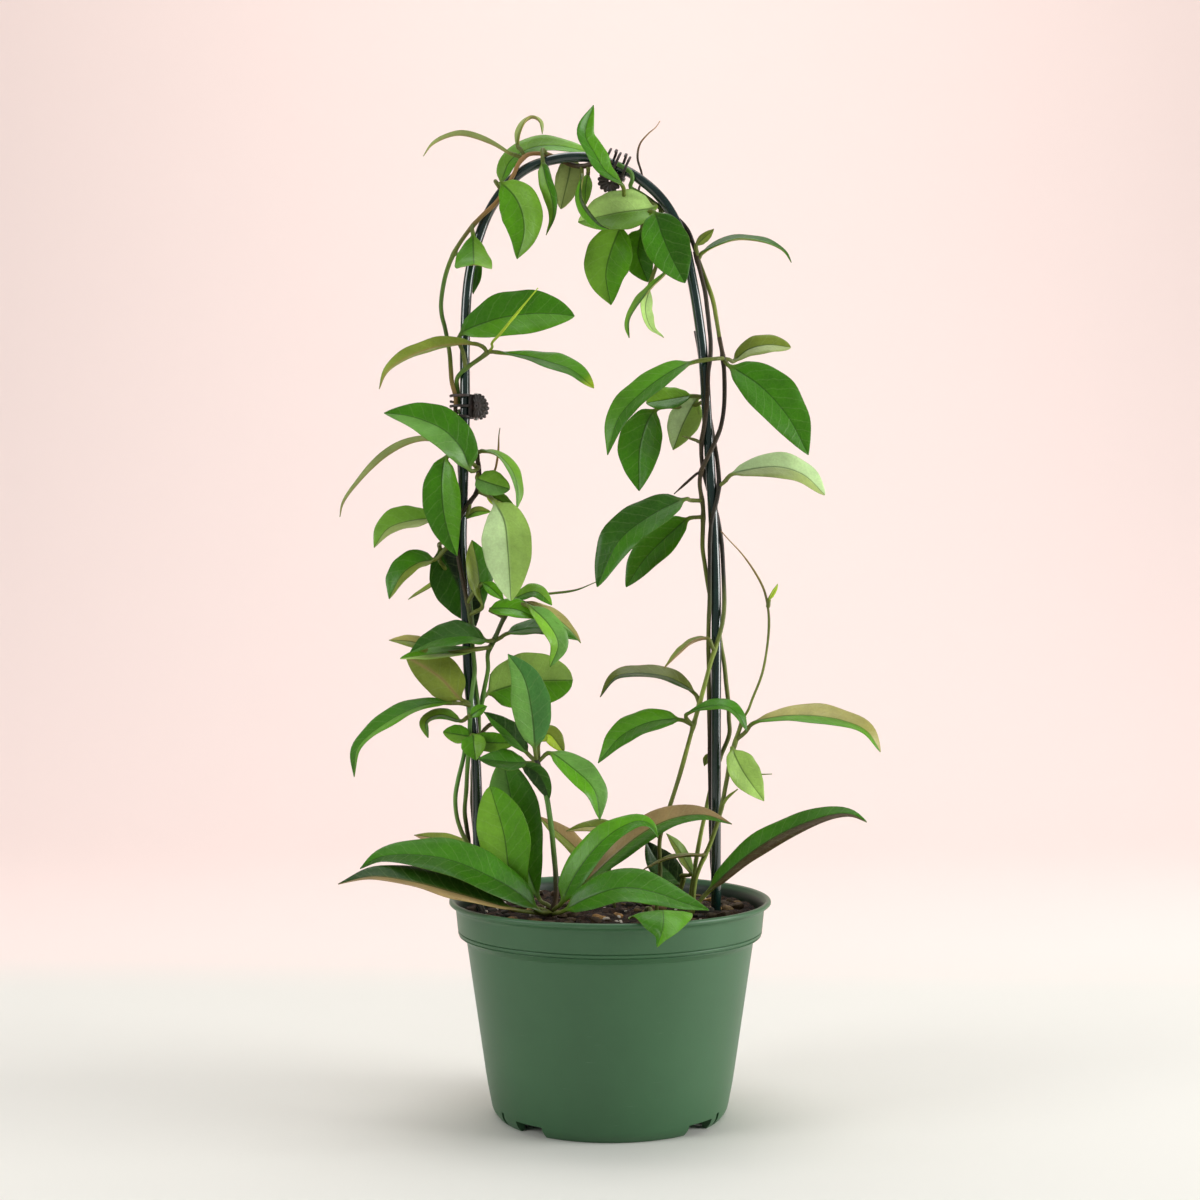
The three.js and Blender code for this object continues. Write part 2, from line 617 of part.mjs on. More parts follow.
// Right leg: the middle vine with the large leaves, then its top over the arch
leafy(
  "vine_right_middle",
  [[
    ...planted(40, 8),
    ...[[40, 114, 8], [44, 138, 9], [47, 152, 9], [50, 165, 9], [54, 178, 8]].map(seen),
    ...twine([
      ["R", 190, 150, 8], ["R", 205, 155, 7], ["R", 225, 145, 5], ["R", 240, 115], ["R", 255, 60],
      ["R", 268, 22, 4.6], ["R", 283, 5, 6], ["R", 303, 0, 4.8], ["R", 315, -5, 5.8],
      ["R", 322, -25, 5.2], ["R", 333, -110, 4.2], ["R", 343, -170, 6.5], ["R", 352, -180, 8.6],
      ["R", 365, -180, 9.7], ["R", 377, -180, 9.8], ["R", 386, -180, 9],
    ]),
  ]],
  [
    [
      [54, 377],
      [[41, 376, -9], [30, 371.3, -11], [15, 360.5, -13], [3.5, 348, -14], [-2.3, 329.5, -15]],
      21, 40,
    ],
    [[55, 376], [[58, 374.5, -5], [74, 364, -8], [88, 348.5, -10], [98.2, 329.5, -11]], 27, -14],
    [
      [55, 378],
      [[60.5, 376.3, 4], [68, 382, 5], [78, 384.5, 5.5], [89.5, 383.3, 6]],
      13, -22, { peak: 1.15, blunt: 0.6 },
    ],
    [
      [44, 307],
      [[37, 307.5, -8], [20, 299.5, -13], [3.5, 286.5, -15], [-7.5, 263.5, -15]],
      24, 30, { blunt: 0.75 },
    ],
    [[45, 298], [[39, 298, 0], [29, 290, 1], [16.5, 277.5, 1], [7, 263.5, 0]], 20, 24, { blunt: 0.75 }],
    [[52, 177], [[49, 180, 8], [46, 174, 8]], 4, 30],
  ],
  [[[44, 321], [[41, 319, -2], [31, 310, -3]], 0.7]],
);
leafy(
  "vine_arch_right",
  [[
    ...twine([
      ["R", 387, -180, 9], ["R", 405, -188, 8.6], ["R", 427, -215, 6.2], ["A", 34, -220, 5],
      ["A", 30, -260, 4.4], ["A", 24, -330, 4.4], ["A", 18, -355, 5.5], ["A", 13, -362, 6],
      ["A", 12, -410, 4.8], ["A", 10, -440, 4.1], ["A", 7, -450, 3.9], ["A", 1.7, -455, 3.9],
    ]),
  ]],
  [
    [[17, 459], [[22, 453.5, -3], [2, 450.3, -4], [-17, 446, -4]], 26, 16, { blunt: 0.7 }],
    [[14, 461], [[5, 445, 5], [-3, 421, 5], [-0.5, 404.5, 5]], 24.5, 0],
    [
      [19, 458],
      [[21, 451, -10], [25.5, 438.5, -13], [30, 428, -14], [36.5, 415.5, -14]],
      24, -5, { blunt: 0.75 },
    ],
    [[18, 459], [[15, 443, 9], [13, 430, 9], [18, 416, 9]], 17, 8, { blunt: 0.7 }],
    [[24, 453], [[27, 422, 1], [20, 414, 0], [12, 404, -1], [8, 396, -1], [8.5, 388, -1]], 12, 64],
    [[24, 453], [[18.5, 413, 5], [16.5, 402, 5], [19.5, 393, 5], [26, 388.3, 5]], 11, -52],
    [
      [13, 462],
      [[5, 464.5, -11], [-3.5, 471.5, -13], [-8.7, 480, -14.5], [-13.6, 490, -15], [-9.2, 504.5, -14]],
      14, 34,
    ],
  ],
  [[
    [15, 461],
    [[15, 469, 6], [12.8, 478, 4], [14, 485, 4], [18, 490, 4], [22, 493.5, 4], [24, 496.5, 4]],
    0.55,
  ]],
);
leafy(
  "vine_right_back",
  [[
    ...planted(52, 9),
    ...twine([
      ["R", 112, 88, 8.5], ["R", 124, 75, 6], ["R", 140, 60, 4.4], ["R", 170, 45], ["R", 200, 35],
      ["R", 225, 20], ["R", 240, 0], ["R", 255, -30], ["R", 270, -40], ["R", 285, -52], ["R", 294, -68],
      ["R", 300, -90], ["R", 314, -160], ["R", 325, -190], ["R", 340, -230], ["R", 355, -258],
      ["R", 375, -285], ["R", 392, -300],
    ]),
  ]],
  [
    [
      [52, 314],
      [[59, 319.3, -4], [70, 322.3, -5], [84, 323.3, -6], [96, 319.3, -7], [106.5, 309.5, -7]],
      18, -28, { peak: 1.05, blunt: 0.7 },
    ],
    [[46, 358], [[40, 359, 8], [30, 357.5, 8], [17, 355.5, 8]], 15, 22, { peak: 1.15, blunt: 0.65 }],
    [[46, 357], [[22, 352, 5], [14.5, 336, 4], [13.5, 311.5, 3]], 23, 10],
    [[46, 360], [[43, 358, 13], [36.5, 347, 13], [30.5, 332, 12]], 17, 5],
  ],
);

// Rooted cuttings and single leaves that stand in the soil
leafy(
  "cutting_centre",
  [[
    ...planted(-29, -22),
    ...[[-28, 108, -22], [-29.5, 135, -21], [-31, 148, -20], [-33, 160, -19], [-38, 177, -18]].map(seen),
  ]],
  [
    [[-38, 177], [[-38.5, 182, -20], [-40, 200, -22], [-44, 218, -22], [-52, 230, -21]], 20, 8],
    [[-38, 177], [[-42, 180, -15], [-52, 191, -14], [-64, 201, -14]], 15, 46],
    [[-37, 176], [[-36.5, 186, -13], [-32, 190, -13], [-24, 181, -13]], 10, -20, { blunt: 0.7 }],
    [[-38, 177], [[-32, 180.5, -17], [-20, 173, -19], [-9, 162, -21], [-6, 147, -22]], 18, -36],
    [[-38, 177], [[-42, 175.5, -20], [-52, 175.8, -22], [-60, 176.8, -23], [-67, 177.5, -23]], 17, 46],
    [
      [-38, 175],
      [[-45, 174.5, -21], [-38, 171, -21], [-34, 165, -21], [-31.5, 157.5, -20]],
      10, 24, { blunt: 0.7 },
    ],
    [
      [-29, 104],
      [
        [-36, 101, -32], [-45, 109, -36], [-58, 117, -40], [-85, 127.8, -46],
        [-115, 128.6, -52], [-126, 122.7, -55],
      ],
      25, 40,
    ],
    [
      [-29, 103],
      [[-48, 102, -42], [-75, 109.5, -50], [-100, 116, -58], [-120, 118.7, -62], [-137, 115, -64]],
      23, 58, { fold: 20 },
    ],
    [
      [-29, 104],
      [[-40, 104, -26], [-50.5, 120, -28], [-54, 140, -28], [-61, 164, -26]],
      26, -4, { peak: 1.35, blunt: 0.65 },
    ],
    [
      [-28.5, 106],
      [[-36, 107, -12], [-46, 135, -14], [-50.5, 158, -14], [-54.5, 177.5, -14]],
      27, 2, { peak: 1.35, blunt: 0.65 },
    ],
    [
      [-28, 105],
      [
        [-25.5, 105, -32], [-18.5, 119, -35], [-9, 132, -36], [3, 142.3, -36],
        [14, 146.5, -35], [19.5, 144.5, -34], [23, 138, -34],
      ],
      18, -38, { peak: 0.7 },
    ],
    [
      [-28, 105],
      [[-15, 114, -16], [0, 128, -18], [15, 140, -20], [30, 147.5, -20], [46, 149.5, -20], [60, 145, -20]],
      20, -46,
    ],
    [
      [-29, 103],
      [
        [-24, 101.5, -42], [-13, 107.5, -48], [5, 113, -53], [22, 110.5, -55],
        [36, 105.5, -58], [48.5, 102, -60],
      ],
      22, -38,
    ],
  ],
  [], STRAND.radius * 1.2, COLOUR.cutting,
);
leafy(
  "leaf_behind_left",
  [[...planted(-48, 22), ...[[-54, 116, 20], [-58, 121, 20]].map(seen)]],
  [[[-56, 119], [[-60, 122.5, 20], [-78, 133.5, 52], [-90, 138, 72], [-99, 139.5, 86]], 12, 25]],
  [], STRAND.radius, COLOUR.cutting,
);
leafy(
  "cutting_behind",
  [[...planted(2, 16), ...[[0, 112, 16], [-3, 118, 16]].map(seen)]],
  [
    [[-1, 115], [[-7, 121, 20], [-20, 134.5, 22], [-37, 149, 23]], 16, 50],
    [[-3, 118], [[-1, 124, 8], [2, 136, 7], [-3, 142.5, 6], [-12, 143.5, 5.5], [-23, 141.5, 5]], 11, 40],
    [[-3, 118], [[-4, 126, 13], [-6, 134, 13], [-9, 141, 13]], 11, 10],
  ],
  [], STRAND.radius, COLOUR.cutting,
);
leafy(
  "leaf_over_rim",
  [[...planted(17, -38), ...[[17.4, 102.5, -38.6], [19, 102.3, -43]].map(seen)]],
  [
    [
      [19, 108],
      [[20, 100, -48], [22.5, 100.6, -62], [25.5, 101, -76], [25.2, 92, -85.5], [22.5, 83.5, -88]],
      30, 0, { fold: -6, facing: SKY },
    ],
  ],
  [], STRAND.radius, COLOUR.cutting,
);
leafy(
  "cutting_right",
  [[...planted(32, 15.5), ...[[34, 112, 14], [36, 118, 12]].map(seen)]],
  [
    [[34, 112], [[34.5, 114, 18], [30, 119.5, 20], [22.5, 127, 21], [17, 136.5, 21]], 16, 15],
    [[36, 118], [[39.5, 120, 4], [36.3, 127, 3], [32, 134, 1], [27.3, 140.3, 0]], 9, 40],
  ],
  [], STRAND.radius, COLOUR.cutting,
);
leafy(
  "leaf_right",
  [[...planted(36, -22), ...[[40, 102, -21], [43, 106, -20]].map(seen)]],
  [
    [
      [43, 106],
      [
        [47, 110, -20], [58, 121, -20], [70, 131, -21], [84, 139.8, -24], [98, 146, -27],
        [112, 150, -29], [120, 149.8, -30], [127.5, 146, -31],
      ],
      18, -50, { blunt: 0.7 },
    ],
  ],
  [], STRAND.radius, COLOUR.cutting,
);

// The pot: one moulded wall with foot ring, floor, step, band and rolled lip, turned about the axis
function potSolid() {
  const wall = POT.wall;
  const outline = [
    [0, POT.floor], [POT.foot - 9, POT.floor], [POT.foot - 6.5, POT.floor - 1.5], [POT.foot - 5, 0],
    [POT.foot - 3, 0],
    [POT.foot, 3.4], [61.4, 18], [BAND.inner, BAND.stepLow], [BAND.outer, BAND.stepHigh],
    [BAND.topRadius, BAND.top], [POT.rim, POT.height - 2.2], [POT.rim, POT.height - 0.7],
    [POT.rim - 1, POT.height], [BAND.topRadius + 0.7, POT.height - 0.5], [BAND.topRadius - wall, BAND.top],
    [BAND.outer - wall, BAND.stepHigh + 0.4], [BAND.inner - wall, BAND.stepLow + 0.2], [61.4 - wall, 18],
    [POT.foot - wall, POT.floor + 3.2], [POT.foot - 3.4, POT.floor + POT.floorThick],
    [0, POT.floor + POT.floorThick],
  ].map(([r, z]) => new THREE.Vector2(r, z));
  const turned = new THREE.LatheGeometry(outline, POT.sides);
  turned.rotateX(Math.PI / 2);
  let pot = solid(turned);
  if (pot.volume() < 0) throw new Error("the pot's outline runs the wrong way");
  const cut = (width, low, high, degrees) => {
    const centre = [POT.foot - 1, 0, (low + high) / 2];
    pot = pot.subtract(solid(block([NOTCH.deep, width, high - low], centre, rad(degrees))));
  };
  for (let side = 0; side < 4; side++) {
    cut(NOTCH.wide, -1, NOTCH.height, 45 + 90 * side + NOTCH.turn);
    cut(SLIT.wide, 1, SLIT.height, SLIT.at[side]);
    const drain = upright(DRAIN.radius, POT.floor - 4, POT.floor + 6, DRAIN.away, 0, 8);
    drain.rotateZ(rad(90 * side));
    pot = pot.subtract(solid(drain));
  }
  return pot;
}
place("pot", potSolid(), COLOUR.pot, 0.4);

// The soil fills the pot, with bark chips in its surface and plain holes for the legs and stems
function soilSolid() {
  const inner = POT.wall + SOIL.gap;
  const floor = POT.floor + POT.floorThick + SOIL.gap;
  const outline = [
    [0, floor], [POT.foot - 4.6, floor], [POT.foot - inner, POT.floor + 4], [61.4 - inner, 18.2],
    [BAND.inner - inner - 0.6, BAND.stepLow - 0.6], [BAND.outer - inner - 0.4, BAND.stepHigh + 1.4],
    [BAND.outer - inner - 0.4, SOIL.level - 0.8], [BAND.outer - inner - 4, SOIL.level], [0, SOIL.level],
  ].map(([r, z]) => new THREE.Vector2(r, z));
  const turned = new THREE.LatheGeometry(outline, POT.sides);
  turned.rotateX(Math.PI / 2);
  let soil = solid(turned);
  let seed = SOIL.seed;
  const random = () => {
    seed = (seed * 16807) % 2147483647;
    return seed / 2147483647;
  };
  for (let i = 0; i < SOIL.chips; i++) {
    const away = 68 * Math.sqrt(random());
    const turn = 2 * Math.PI * random();
    const size = [3 + 4 * random(), 2.5 + 3 * random(), 2 + 2 * random()];
    const chip = new THREE.BoxGeometry(...size);
    chip.rotateX(0.8 * (random() - 0.5));
    chip.rotateY(0.8 * (random() - 0.5));
    chip.rotateZ(3 * random());
    chip.translate(away * Math.cos(turn), away * Math.sin(turn), SOIL.level - 0.2);
    soil = soil.add(solid(chip));
  }
  const bottom = SOIL.level - SOIL.rootDepth - SOIL.gap;
  holes.forEach(([x, y, radius]) => {
    soil = soil.subtract(solid(upright(radius + SOIL.play, bottom, SOIL.level + 12, x, y, 7)));
  });
  [[HOOP[0], HOOP[1]], [HOOP.at(-1), HOOP.at(-2)]].forEach(([foot, above]) => {
    const way = above.clone().sub(foot);
    const route = [foot.clone().addScaledVector(way, -0.01), above.clone().addScaledVector(way, 0.3)];
    soil = soil.subtract(solid(stem(route, WIRE.radius + SOIL.play * 0.6, 8, 60)));
  });
  return soil;
}
place("soil", soilSolid(), COLOUR.soil, 0.95);

// The hoop's wire
const wireSection = regular(WIRE.sides, WIRE.radius);
const alongHoop = { steps: WIRE.steps, extrudePath: hoopPath, bevelEnabled: false };
place("hoop", solid(new THREE.ExtrudeGeometry(wireSection, alongHoop)), COLOUR.wire, 0.25);

// A spring clip in its own frame: x towards the grips, y towards the front, z along the wire.
// Part of a ring between two radii and two angles.
function ringPart(inner, outer, fromDeg, toDeg) {
  const shape = new THREE.Shape();
  shape.absarc(0, 0, outer, rad(fromDeg), rad(toDeg), toDeg < fromDeg);
  shape.absarc(0, 0, inner, rad(toDeg), rad(fromDeg), toDeg > fromDeg);
  shape.closePath();
  return shape;
}

function slab(shape, low, high, curveSegments = 3) {
  const made = new THREE.ExtrudeGeometry(shape, { depth: high - low, bevelEnabled: false, curveSegments });
  made.translate(0, 0, low);
  return made;
}

// A round grip with a toothed edge, cut off straight where it joins the jaw.
function gripPiece() {
  const outline = new THREE.Shape();
  const points = CLIP.teeth * 2;
  for (let i = 0; i < points; i++) {
    const a = (2 * Math.PI * i) / points;
    const r = CLIP.grip - (i % 2 ? CLIP.tooth : 0);
    outline[i ? "lineTo" : "moveTo"](Math.max(r * Math.cos(a), -CLIP.gripCut), r * Math.sin(a));
  }
  outline.closePath();
  const grip = slab(outline, -CLIP.gripThick / 2, CLIP.gripThick / 2);
  grip.rotateX(Math.PI / 2);
  grip.rotateZ(rad(CLIP.gripTurnDeg));
  grip.translate(CLIP.gripAlong, CLIP.gripOut, 0);
  return grip;
}

// A hinge knuckle round the pin, with the arm that joins it to the jaw.
function knucklePieces(low, high) {
  const ring = new THREE.Shape();
  ring.absarc(0, 0, CLIP.barrel, 0, 2 * Math.PI);
  const bore = new THREE.Path();
  bore.absarc(0, 0, CLIP.pin + CLIP.play, 0, 2 * Math.PI, true);
  ring.holes.push(bore);
  const knuckle = slab(ring, low, high, 4);
  knuckle.translate(CLIP.hinge, 0, 0);
  const arm = new THREE.BoxGeometry(2.35, 1.6, high - low);
  arm.rotateZ(rad(-58));
  arm.translate(CLIP.hinge - 1.3, 2.1, (low + high) / 2);
  return [knuckle, arm];
}

// One jaw: curved prongs at their places along the wire, a bar that joins them, its grip and its knuckles.
function jawSolid(prongs, knuckles) {
  const outer = CLIP.mouth + CLIP.band;
  const end = CLIP.pitch + CLIP.prong / 2;
  const arch = ringPart(CLIP.mouth, outer, 44, 188);
  const curved = prongs.map((z) => slab(arch, z - CLIP.prong / 2, z + CLIP.prong / 2));
  curved.push(slab(ringPart(CLIP.mouth, outer + 0.3, 14, 46), -end, end, 1));
  curved.forEach((piece) => piece.translate(CLIP.mouthShift, 0, 0));
  return joined([...curved, gripPiece(), ...knuckles.flatMap(([low, high]) => knucklePieces(low, high))]);
}

// One clip, turned and moved to its place. frame: the clip's x, y and z directions and the wire's centre.
function clip(name, frame) {
  const end = CLIP.pitch + CLIP.prong / 2;
  const pair = ([low, high]) => [[-high, -low], [low, high]];
  const front = jawSolid([-CLIP.pitch, 0, CLIP.pitch], pair(CLIP.frontKnuckle));
  const back = jawSolid([-CLIP.pitch / 2, CLIP.pitch / 2], pair(CLIP.backKnuckle)).mirror([0, 1, 0]);
  const pin = joined([
    upright(CLIP.pin, -end - 0.5, end + 0.5, CLIP.hinge, 0, 6),
    upright(CLIP.pin * 1.8, end + 0.3, end + 0.9, CLIP.hinge, 0, 6),
    upright(CLIP.pin * 1.8, -end - 0.9, -end - 0.3, CLIP.hinge, 0, 6),
  ]);
  const spring = solid(upright(CLIP.barrel - 0.1, -1.4, 1.4, CLIP.hinge, 0, 8)).subtract(
    solid(upright(CLIP.pin + CLIP.play, -2, 2, CLIP.hinge, 0, 6)),
  );
  const holder = new THREE.Group();
  holder.matrixAutoUpdate = false;
  holder.matrix.copy(frame);
  plant.add(holder);
  holder.add(place(name + "_front", front, COLOUR.clip, 0.5));
  holder.add(place(name + "_back", back, COLOUR.clip, 0.5));
  holder.add(place(name + "_pin", pin, COLOUR.spring, 0.3, 1));
  holder.add(place(name + "_spring", spring, COLOUR.spring, 0.3, 1));
}

// A clip's frame at a place on the hoop, leaned round the wire so that its front grip turns to the front.
function clipFrame(index, leanDeg) {
  const centre = roundWire(index, 0, 0);
  const inside = roundWire(index, 0, 1).sub(centre);
  const front = roundWire(index, -90, 1).sub(centre);
  const along = inside.clone().cross(front);
  const frame = new THREE.Matrix4().makeBasis(inside, front, along);
  return frame.multiply(new THREE.Matrix4().makeRotationZ(rad(-leanDeg))).setPosition(centre);
}
clip("low_clip", clipFrame(hoopIndex("L", 353.3), 0));
clip("top_clip", clipFrame(hoopIndex("A", 2), CLIP.gripTurnDeg));

export default plant;
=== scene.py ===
"""A potted climbing hoya on a wire hoop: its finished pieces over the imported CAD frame, in metres."""

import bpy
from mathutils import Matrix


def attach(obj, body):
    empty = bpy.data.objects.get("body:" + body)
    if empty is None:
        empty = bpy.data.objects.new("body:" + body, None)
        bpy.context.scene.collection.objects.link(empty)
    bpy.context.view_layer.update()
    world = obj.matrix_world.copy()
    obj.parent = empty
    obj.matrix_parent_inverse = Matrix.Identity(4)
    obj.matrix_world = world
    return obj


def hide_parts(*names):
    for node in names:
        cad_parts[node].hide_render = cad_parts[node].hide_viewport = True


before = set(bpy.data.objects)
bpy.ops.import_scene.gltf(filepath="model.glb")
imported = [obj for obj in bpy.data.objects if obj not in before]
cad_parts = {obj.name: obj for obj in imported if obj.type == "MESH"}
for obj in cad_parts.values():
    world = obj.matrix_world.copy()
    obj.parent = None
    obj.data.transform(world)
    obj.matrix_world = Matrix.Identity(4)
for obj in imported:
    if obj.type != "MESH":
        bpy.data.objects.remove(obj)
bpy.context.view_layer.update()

import math

import bmesh
import bpy
import numpy as np
from bpy.props import FloatProperty, FloatVectorProperty, IntProperty, PointerProperty
from mathutils import Vector

bl_info = {
    "name": "Potted hoya on a hoop",
    "version": (1, 0, 0),
    "blender": (4, 5, 0),
    "location": "3D View > Sidebar > Hoya",
    "description": "Builds a climbing hoya with its nursery pot, soil, wire hoop and spring clips",
    "category": "Object",
}

MM = 0.001

# Sizes of the CAD part, in millimetres
SOIL_LEVEL = 101
ROOT_DEPTH = 31
WIRE_RADIUS = 2.5
STEM_RADIUS = 1.1
HUG = WIRE_RADIUS + 0.35 + STEM_RADIUS

# Where the photograph's eye stands, and how far right and down of their place the points were read
EYE = np.array([-5.0, -965.0, 256.0])
SIGHT = np.array([1.0, -1.0])

# Which way a blade's upper face looks: most look at the viewer, and a few look up
FACE = np.array([0, -1, 0.2]) / math.hypot(1, 0.2)
SKY = np.array([0.0, 0.0, 1.0])

# The clips: the arc of their prongs about the wire, and the pin's distance from the wire's axis
PRONG_RADIUS = 5.0
PRONG_SHIFT = -1.6
PIN_REACH = 5.6

# Where the middle of the pot's foot ring and of its drain holes lies from the axis
FOOT_RING = 57.5
DRAIN_HOLES = 34

# The soil's clods and what lies on them come from one seed
SOIL_SEED = 11


# Colours

def linear(hex_colour):
    """An sRGB hex colour as linear red, green, blue and 1."""
    value = np.array([int(hex_colour[i:i + 2], 16) for i in (1, 3, 5)]) / 255
    low = value / 12.92
    high = ((value + 0.055) / 1.055) ** 2.4
    return (*map(float, np.where(value <= 0.04045, low, high)), 1.0)


# Leaf and stem colours by plain name. The first of them, a whitish green, is no colour of the leaves but a
# painted highlight, laid on leaves that catch the light and on leaves in shade to lighten them
TONES = {
    "wax": "#c2df9f", "sage": "#98a860", "fresh": "#c2ea84", "pale": "#98bd58", "light": "#72a62e",
    "bright": "#549312", "mid": "#3c770c", "deep": "#2c5d06", "dark": "#1d4205", "black": "#102605",
    "blue": "#47803a", "dusk": "#63963f",
    "olive": "#78892f", "straw": "#aaa35a", "rosy": "#9b8254", "brown": "#5f4a22", "umber": "#413015",
    "young": "#a2bd24", "moss": "#5f6a22", "bark": "#3b2d13", "tan": "#9d7743", "green": "#4f731c",
    "night": "#211b0c",
}


# Curves

def seen(points):
    """Points that show at x, z against the hoop's plane and lie y behind it: each offset from the eye's axis
    is scaled by its distance from the eye over the hoop's distance."""
    p = np.array([tuple(q) + (0,) * (3 - len(q)) for q in points], float)
    k = (p[:, 2] - EYE[1]) / -EYE[1]
    x = EYE[0] + (p[:, 0] + SIGHT[0] - EYE[0]) * k
    z = EYE[2] + (p[:, 1] + SIGHT[1] - EYE[2]) * k
    return np.stack([x, p[:, 2], z], axis=1)


def curve(points, t):
    """A centripetal Catmull-Rom curve at shares t of its spans: on each span a cubic through its two ends,
    whose slopes come from the square roots of the distances between neighbouring points."""
    p = np.asarray(points, float)
    spans = len(p) - 1
    p = np.vstack([2 * p[0] - p[1], p, 2 * p[-1] - p[-2]])
    place = np.clip(np.asarray(t, float) * spans, 0, spans - 1e-9)
    i = place.astype(int)
    w = (place - i)[:, None]
    a, b, c, d = p[i], p[i + 1], p[i + 2], p[i + 3]
    d0, d1, d2 = (np.sqrt(np.linalg.norm(q - r, axis=1))[:, None] + 1e-6 for q, r in ((b, a), (c, b), (d, c)))
    out = ((b - a) / d0 - (c - a) / (d0 + d1) + (c - b) / d1) * d1
    into = ((c - b) / d1 - (d - b) / (d1 + d2) + (d - c) / d2) * d1
    return b + out * w + (3 * (c - b) - 2 * out - into) * w ** 2 + (2 * (b - c) + out + into) * w ** 3


def spaced(points, shares):
    """The curve at shares of its length, and its length: shares of spans are looked up in a table of the
    length up to each of 200 steps."""
    table = np.linspace(0, 1, 201)
    steps = np.linalg.norm(np.diff(curve(points, table), axis=0), axis=1)
    length = np.concatenate([[0], np.cumsum(steps)])
    return curve(points, np.interp(np.asarray(shares) * length[-1], length, table)), length[-1]


def unit(vectors):
    """Vectors of length one."""
    return vectors / np.maximum(np.linalg.norm(vectors, axis=-1, keepdims=True), 1e-12)


def step_between(low, high, value):
    """0 below low, 1 above high, and a smooth S between them: 3x^2 - 2x^3."""
    x = np.clip((value - low) / (high - low), 0, 1)
    return x * x * (3 - 2 * x)


HOOP = seen([
    (-62.5, 53), (-65, 95), (-67, 135), (-67.5, 165), (-69, 190), (-71.5, 215), (-73, 250), (-75, 285),
    (-74.5, 310), (-73.5, 350), (-73.5, 385), (-72.5, 410), (-70.5, 424), (-66, 440), (-62, 450),
    (-57, 458.5), (-50, 467), (-41, 473.5), (-30, 477), (-20, 478.5), (-10, 478), (0, 475), (10, 470),
    (20, 462.5), (26, 456), (31, 448), (36, 436), (40.5, 415), (43, 400), (45.5, 380), (48, 340),
    (50.5, 300), (52, 260), (52, 190), (52, 120), (52, 53),
])
SAMPLES = 900
HOOP_LINE = spaced(HOOP, np.linspace(0, 1, SAMPLES + 1))[0]
HOOP_TOP = int(np.argmax(HOOP_LINE[:, 2]))
HOOP_SHOULDER = int(np.argmax(HOOP_LINE[:, 2] > 425))


def hoop_index(where, value):
    """The hoop's sample at a leg's height (L or R) or at x across the arch (A)."""
    axis, goal = (0, value + SIGHT[0]) if where == "A" else (2, value + SIGHT[1])
    ends = {"L": (0, HOOP_TOP), "R": (HOOP_TOP, SAMPLES), "A": (HOOP_SHOULDER, SAMPLES - HOOP_SHOULDER)}
    first, last = ends[where]
    return first + int(np.argmin(np.abs(HOOP_LINE[first:last + 1, axis] - goal)))


def round_wire(index, degrees, radius):
    """Points at angles and distances round the wire: 0 is inside the hoop, 90 behind it, 180 outside it and
    -90 in front."""
    i = np.clip(np.atleast_1d(index).astype(float), 1, SAMPLES - 1)
    low = i.astype(int)
    centre = HOOP_LINE[low] + (HOOP_LINE[low + 1] - HOOP_LINE[low]) * (i - low)[:, None]
    along = HOOP_LINE[np.minimum(low + 2, SAMPLES)] - HOOP_LINE[np.maximum(low - 2, 0)]
    back = np.array([0.0, 1.0, 0.0])
    inside = unit(np.cross(back, unit(along)))
    turn = np.radians(np.atleast_1d(degrees))
    radius = np.atleast_1d(radius)
    return centre + inside * (radius * np.cos(turn))[:, None] + back * (radius * np.sin(turn))[:, None]


def twine(**legs):
    """A strand round the wire: for each leg stops of height, angle and, where the strand doesn't hug the
    wire, distance. The points between two stops are even, about 9 samples or 40 degrees apart at most."""
    keys = [(hoop_index(leg, value), angle, (*radius, HUG)[0])
            for leg, stops in legs.items() for value, angle, *radius in stops]
    runs = []
    for k, (a, b) in enumerate(zip(keys, keys[1:])):
        parts = max(1, int(abs(b[0] - a[0]) / 9 + 0.5), int(abs(b[1] - a[1]) / 40 + 0.5))
        t = np.arange(1 if k else 0, parts + 1)[:, None] / parts
        runs.append(np.array(a) + (np.array(b) - np.array(a)) * t)
    return round_wire(*np.vstack(runs).T)


def planted(x, y):
    """A stem's foot in the soil."""
    return np.array([[x, y, SOIL_LEVEL + z] for z in (-ROOT_DEPTH, -6, 0)], float)


def beside_wire(point):
    """The nearest place on the hoop to a point, the angle round it and the distance from it."""
    best = int(np.argmin(np.linalg.norm(HOOP_LINE - point, axis=1)))
    off = point - HOOP_LINE[best]
    inside = (round_wire(best, 0, 1) - round_wire(best, 0, 0))[0]
    return best, math.degrees(math.atan2(off[1], off @ inside)), float(np.linalg.norm(off))


def petiole_from(root, base, lines):
    """A petiole's first points: the stems' nearest point to root, then one half way to the blade's base,
    led round the wire where both lie close beside it."""
    goal = seen([root])[0]
    every = np.vstack(lines)
    start = every[np.argmin(np.hypot(every[:, 0] - goal[0], every[:, 2] - goal[2]))]
    (i0, a0, r0), (i1, a1, r1) = beside_wire(start), beside_wire(base)
    if min(r0, r1) >= 14 or abs(i0 - i1) >= 60:
        return np.array([start, (start + base) / 2])
    turn = (a1 - a0 + 540) % 360 - 180
    middle = round_wire((i0 + i1) / 2, a0 + turn * 0.4, max(r0, r0 + (r1 - r0) * 0.6))[0]
    return np.array([start, middle])


# Surfaces

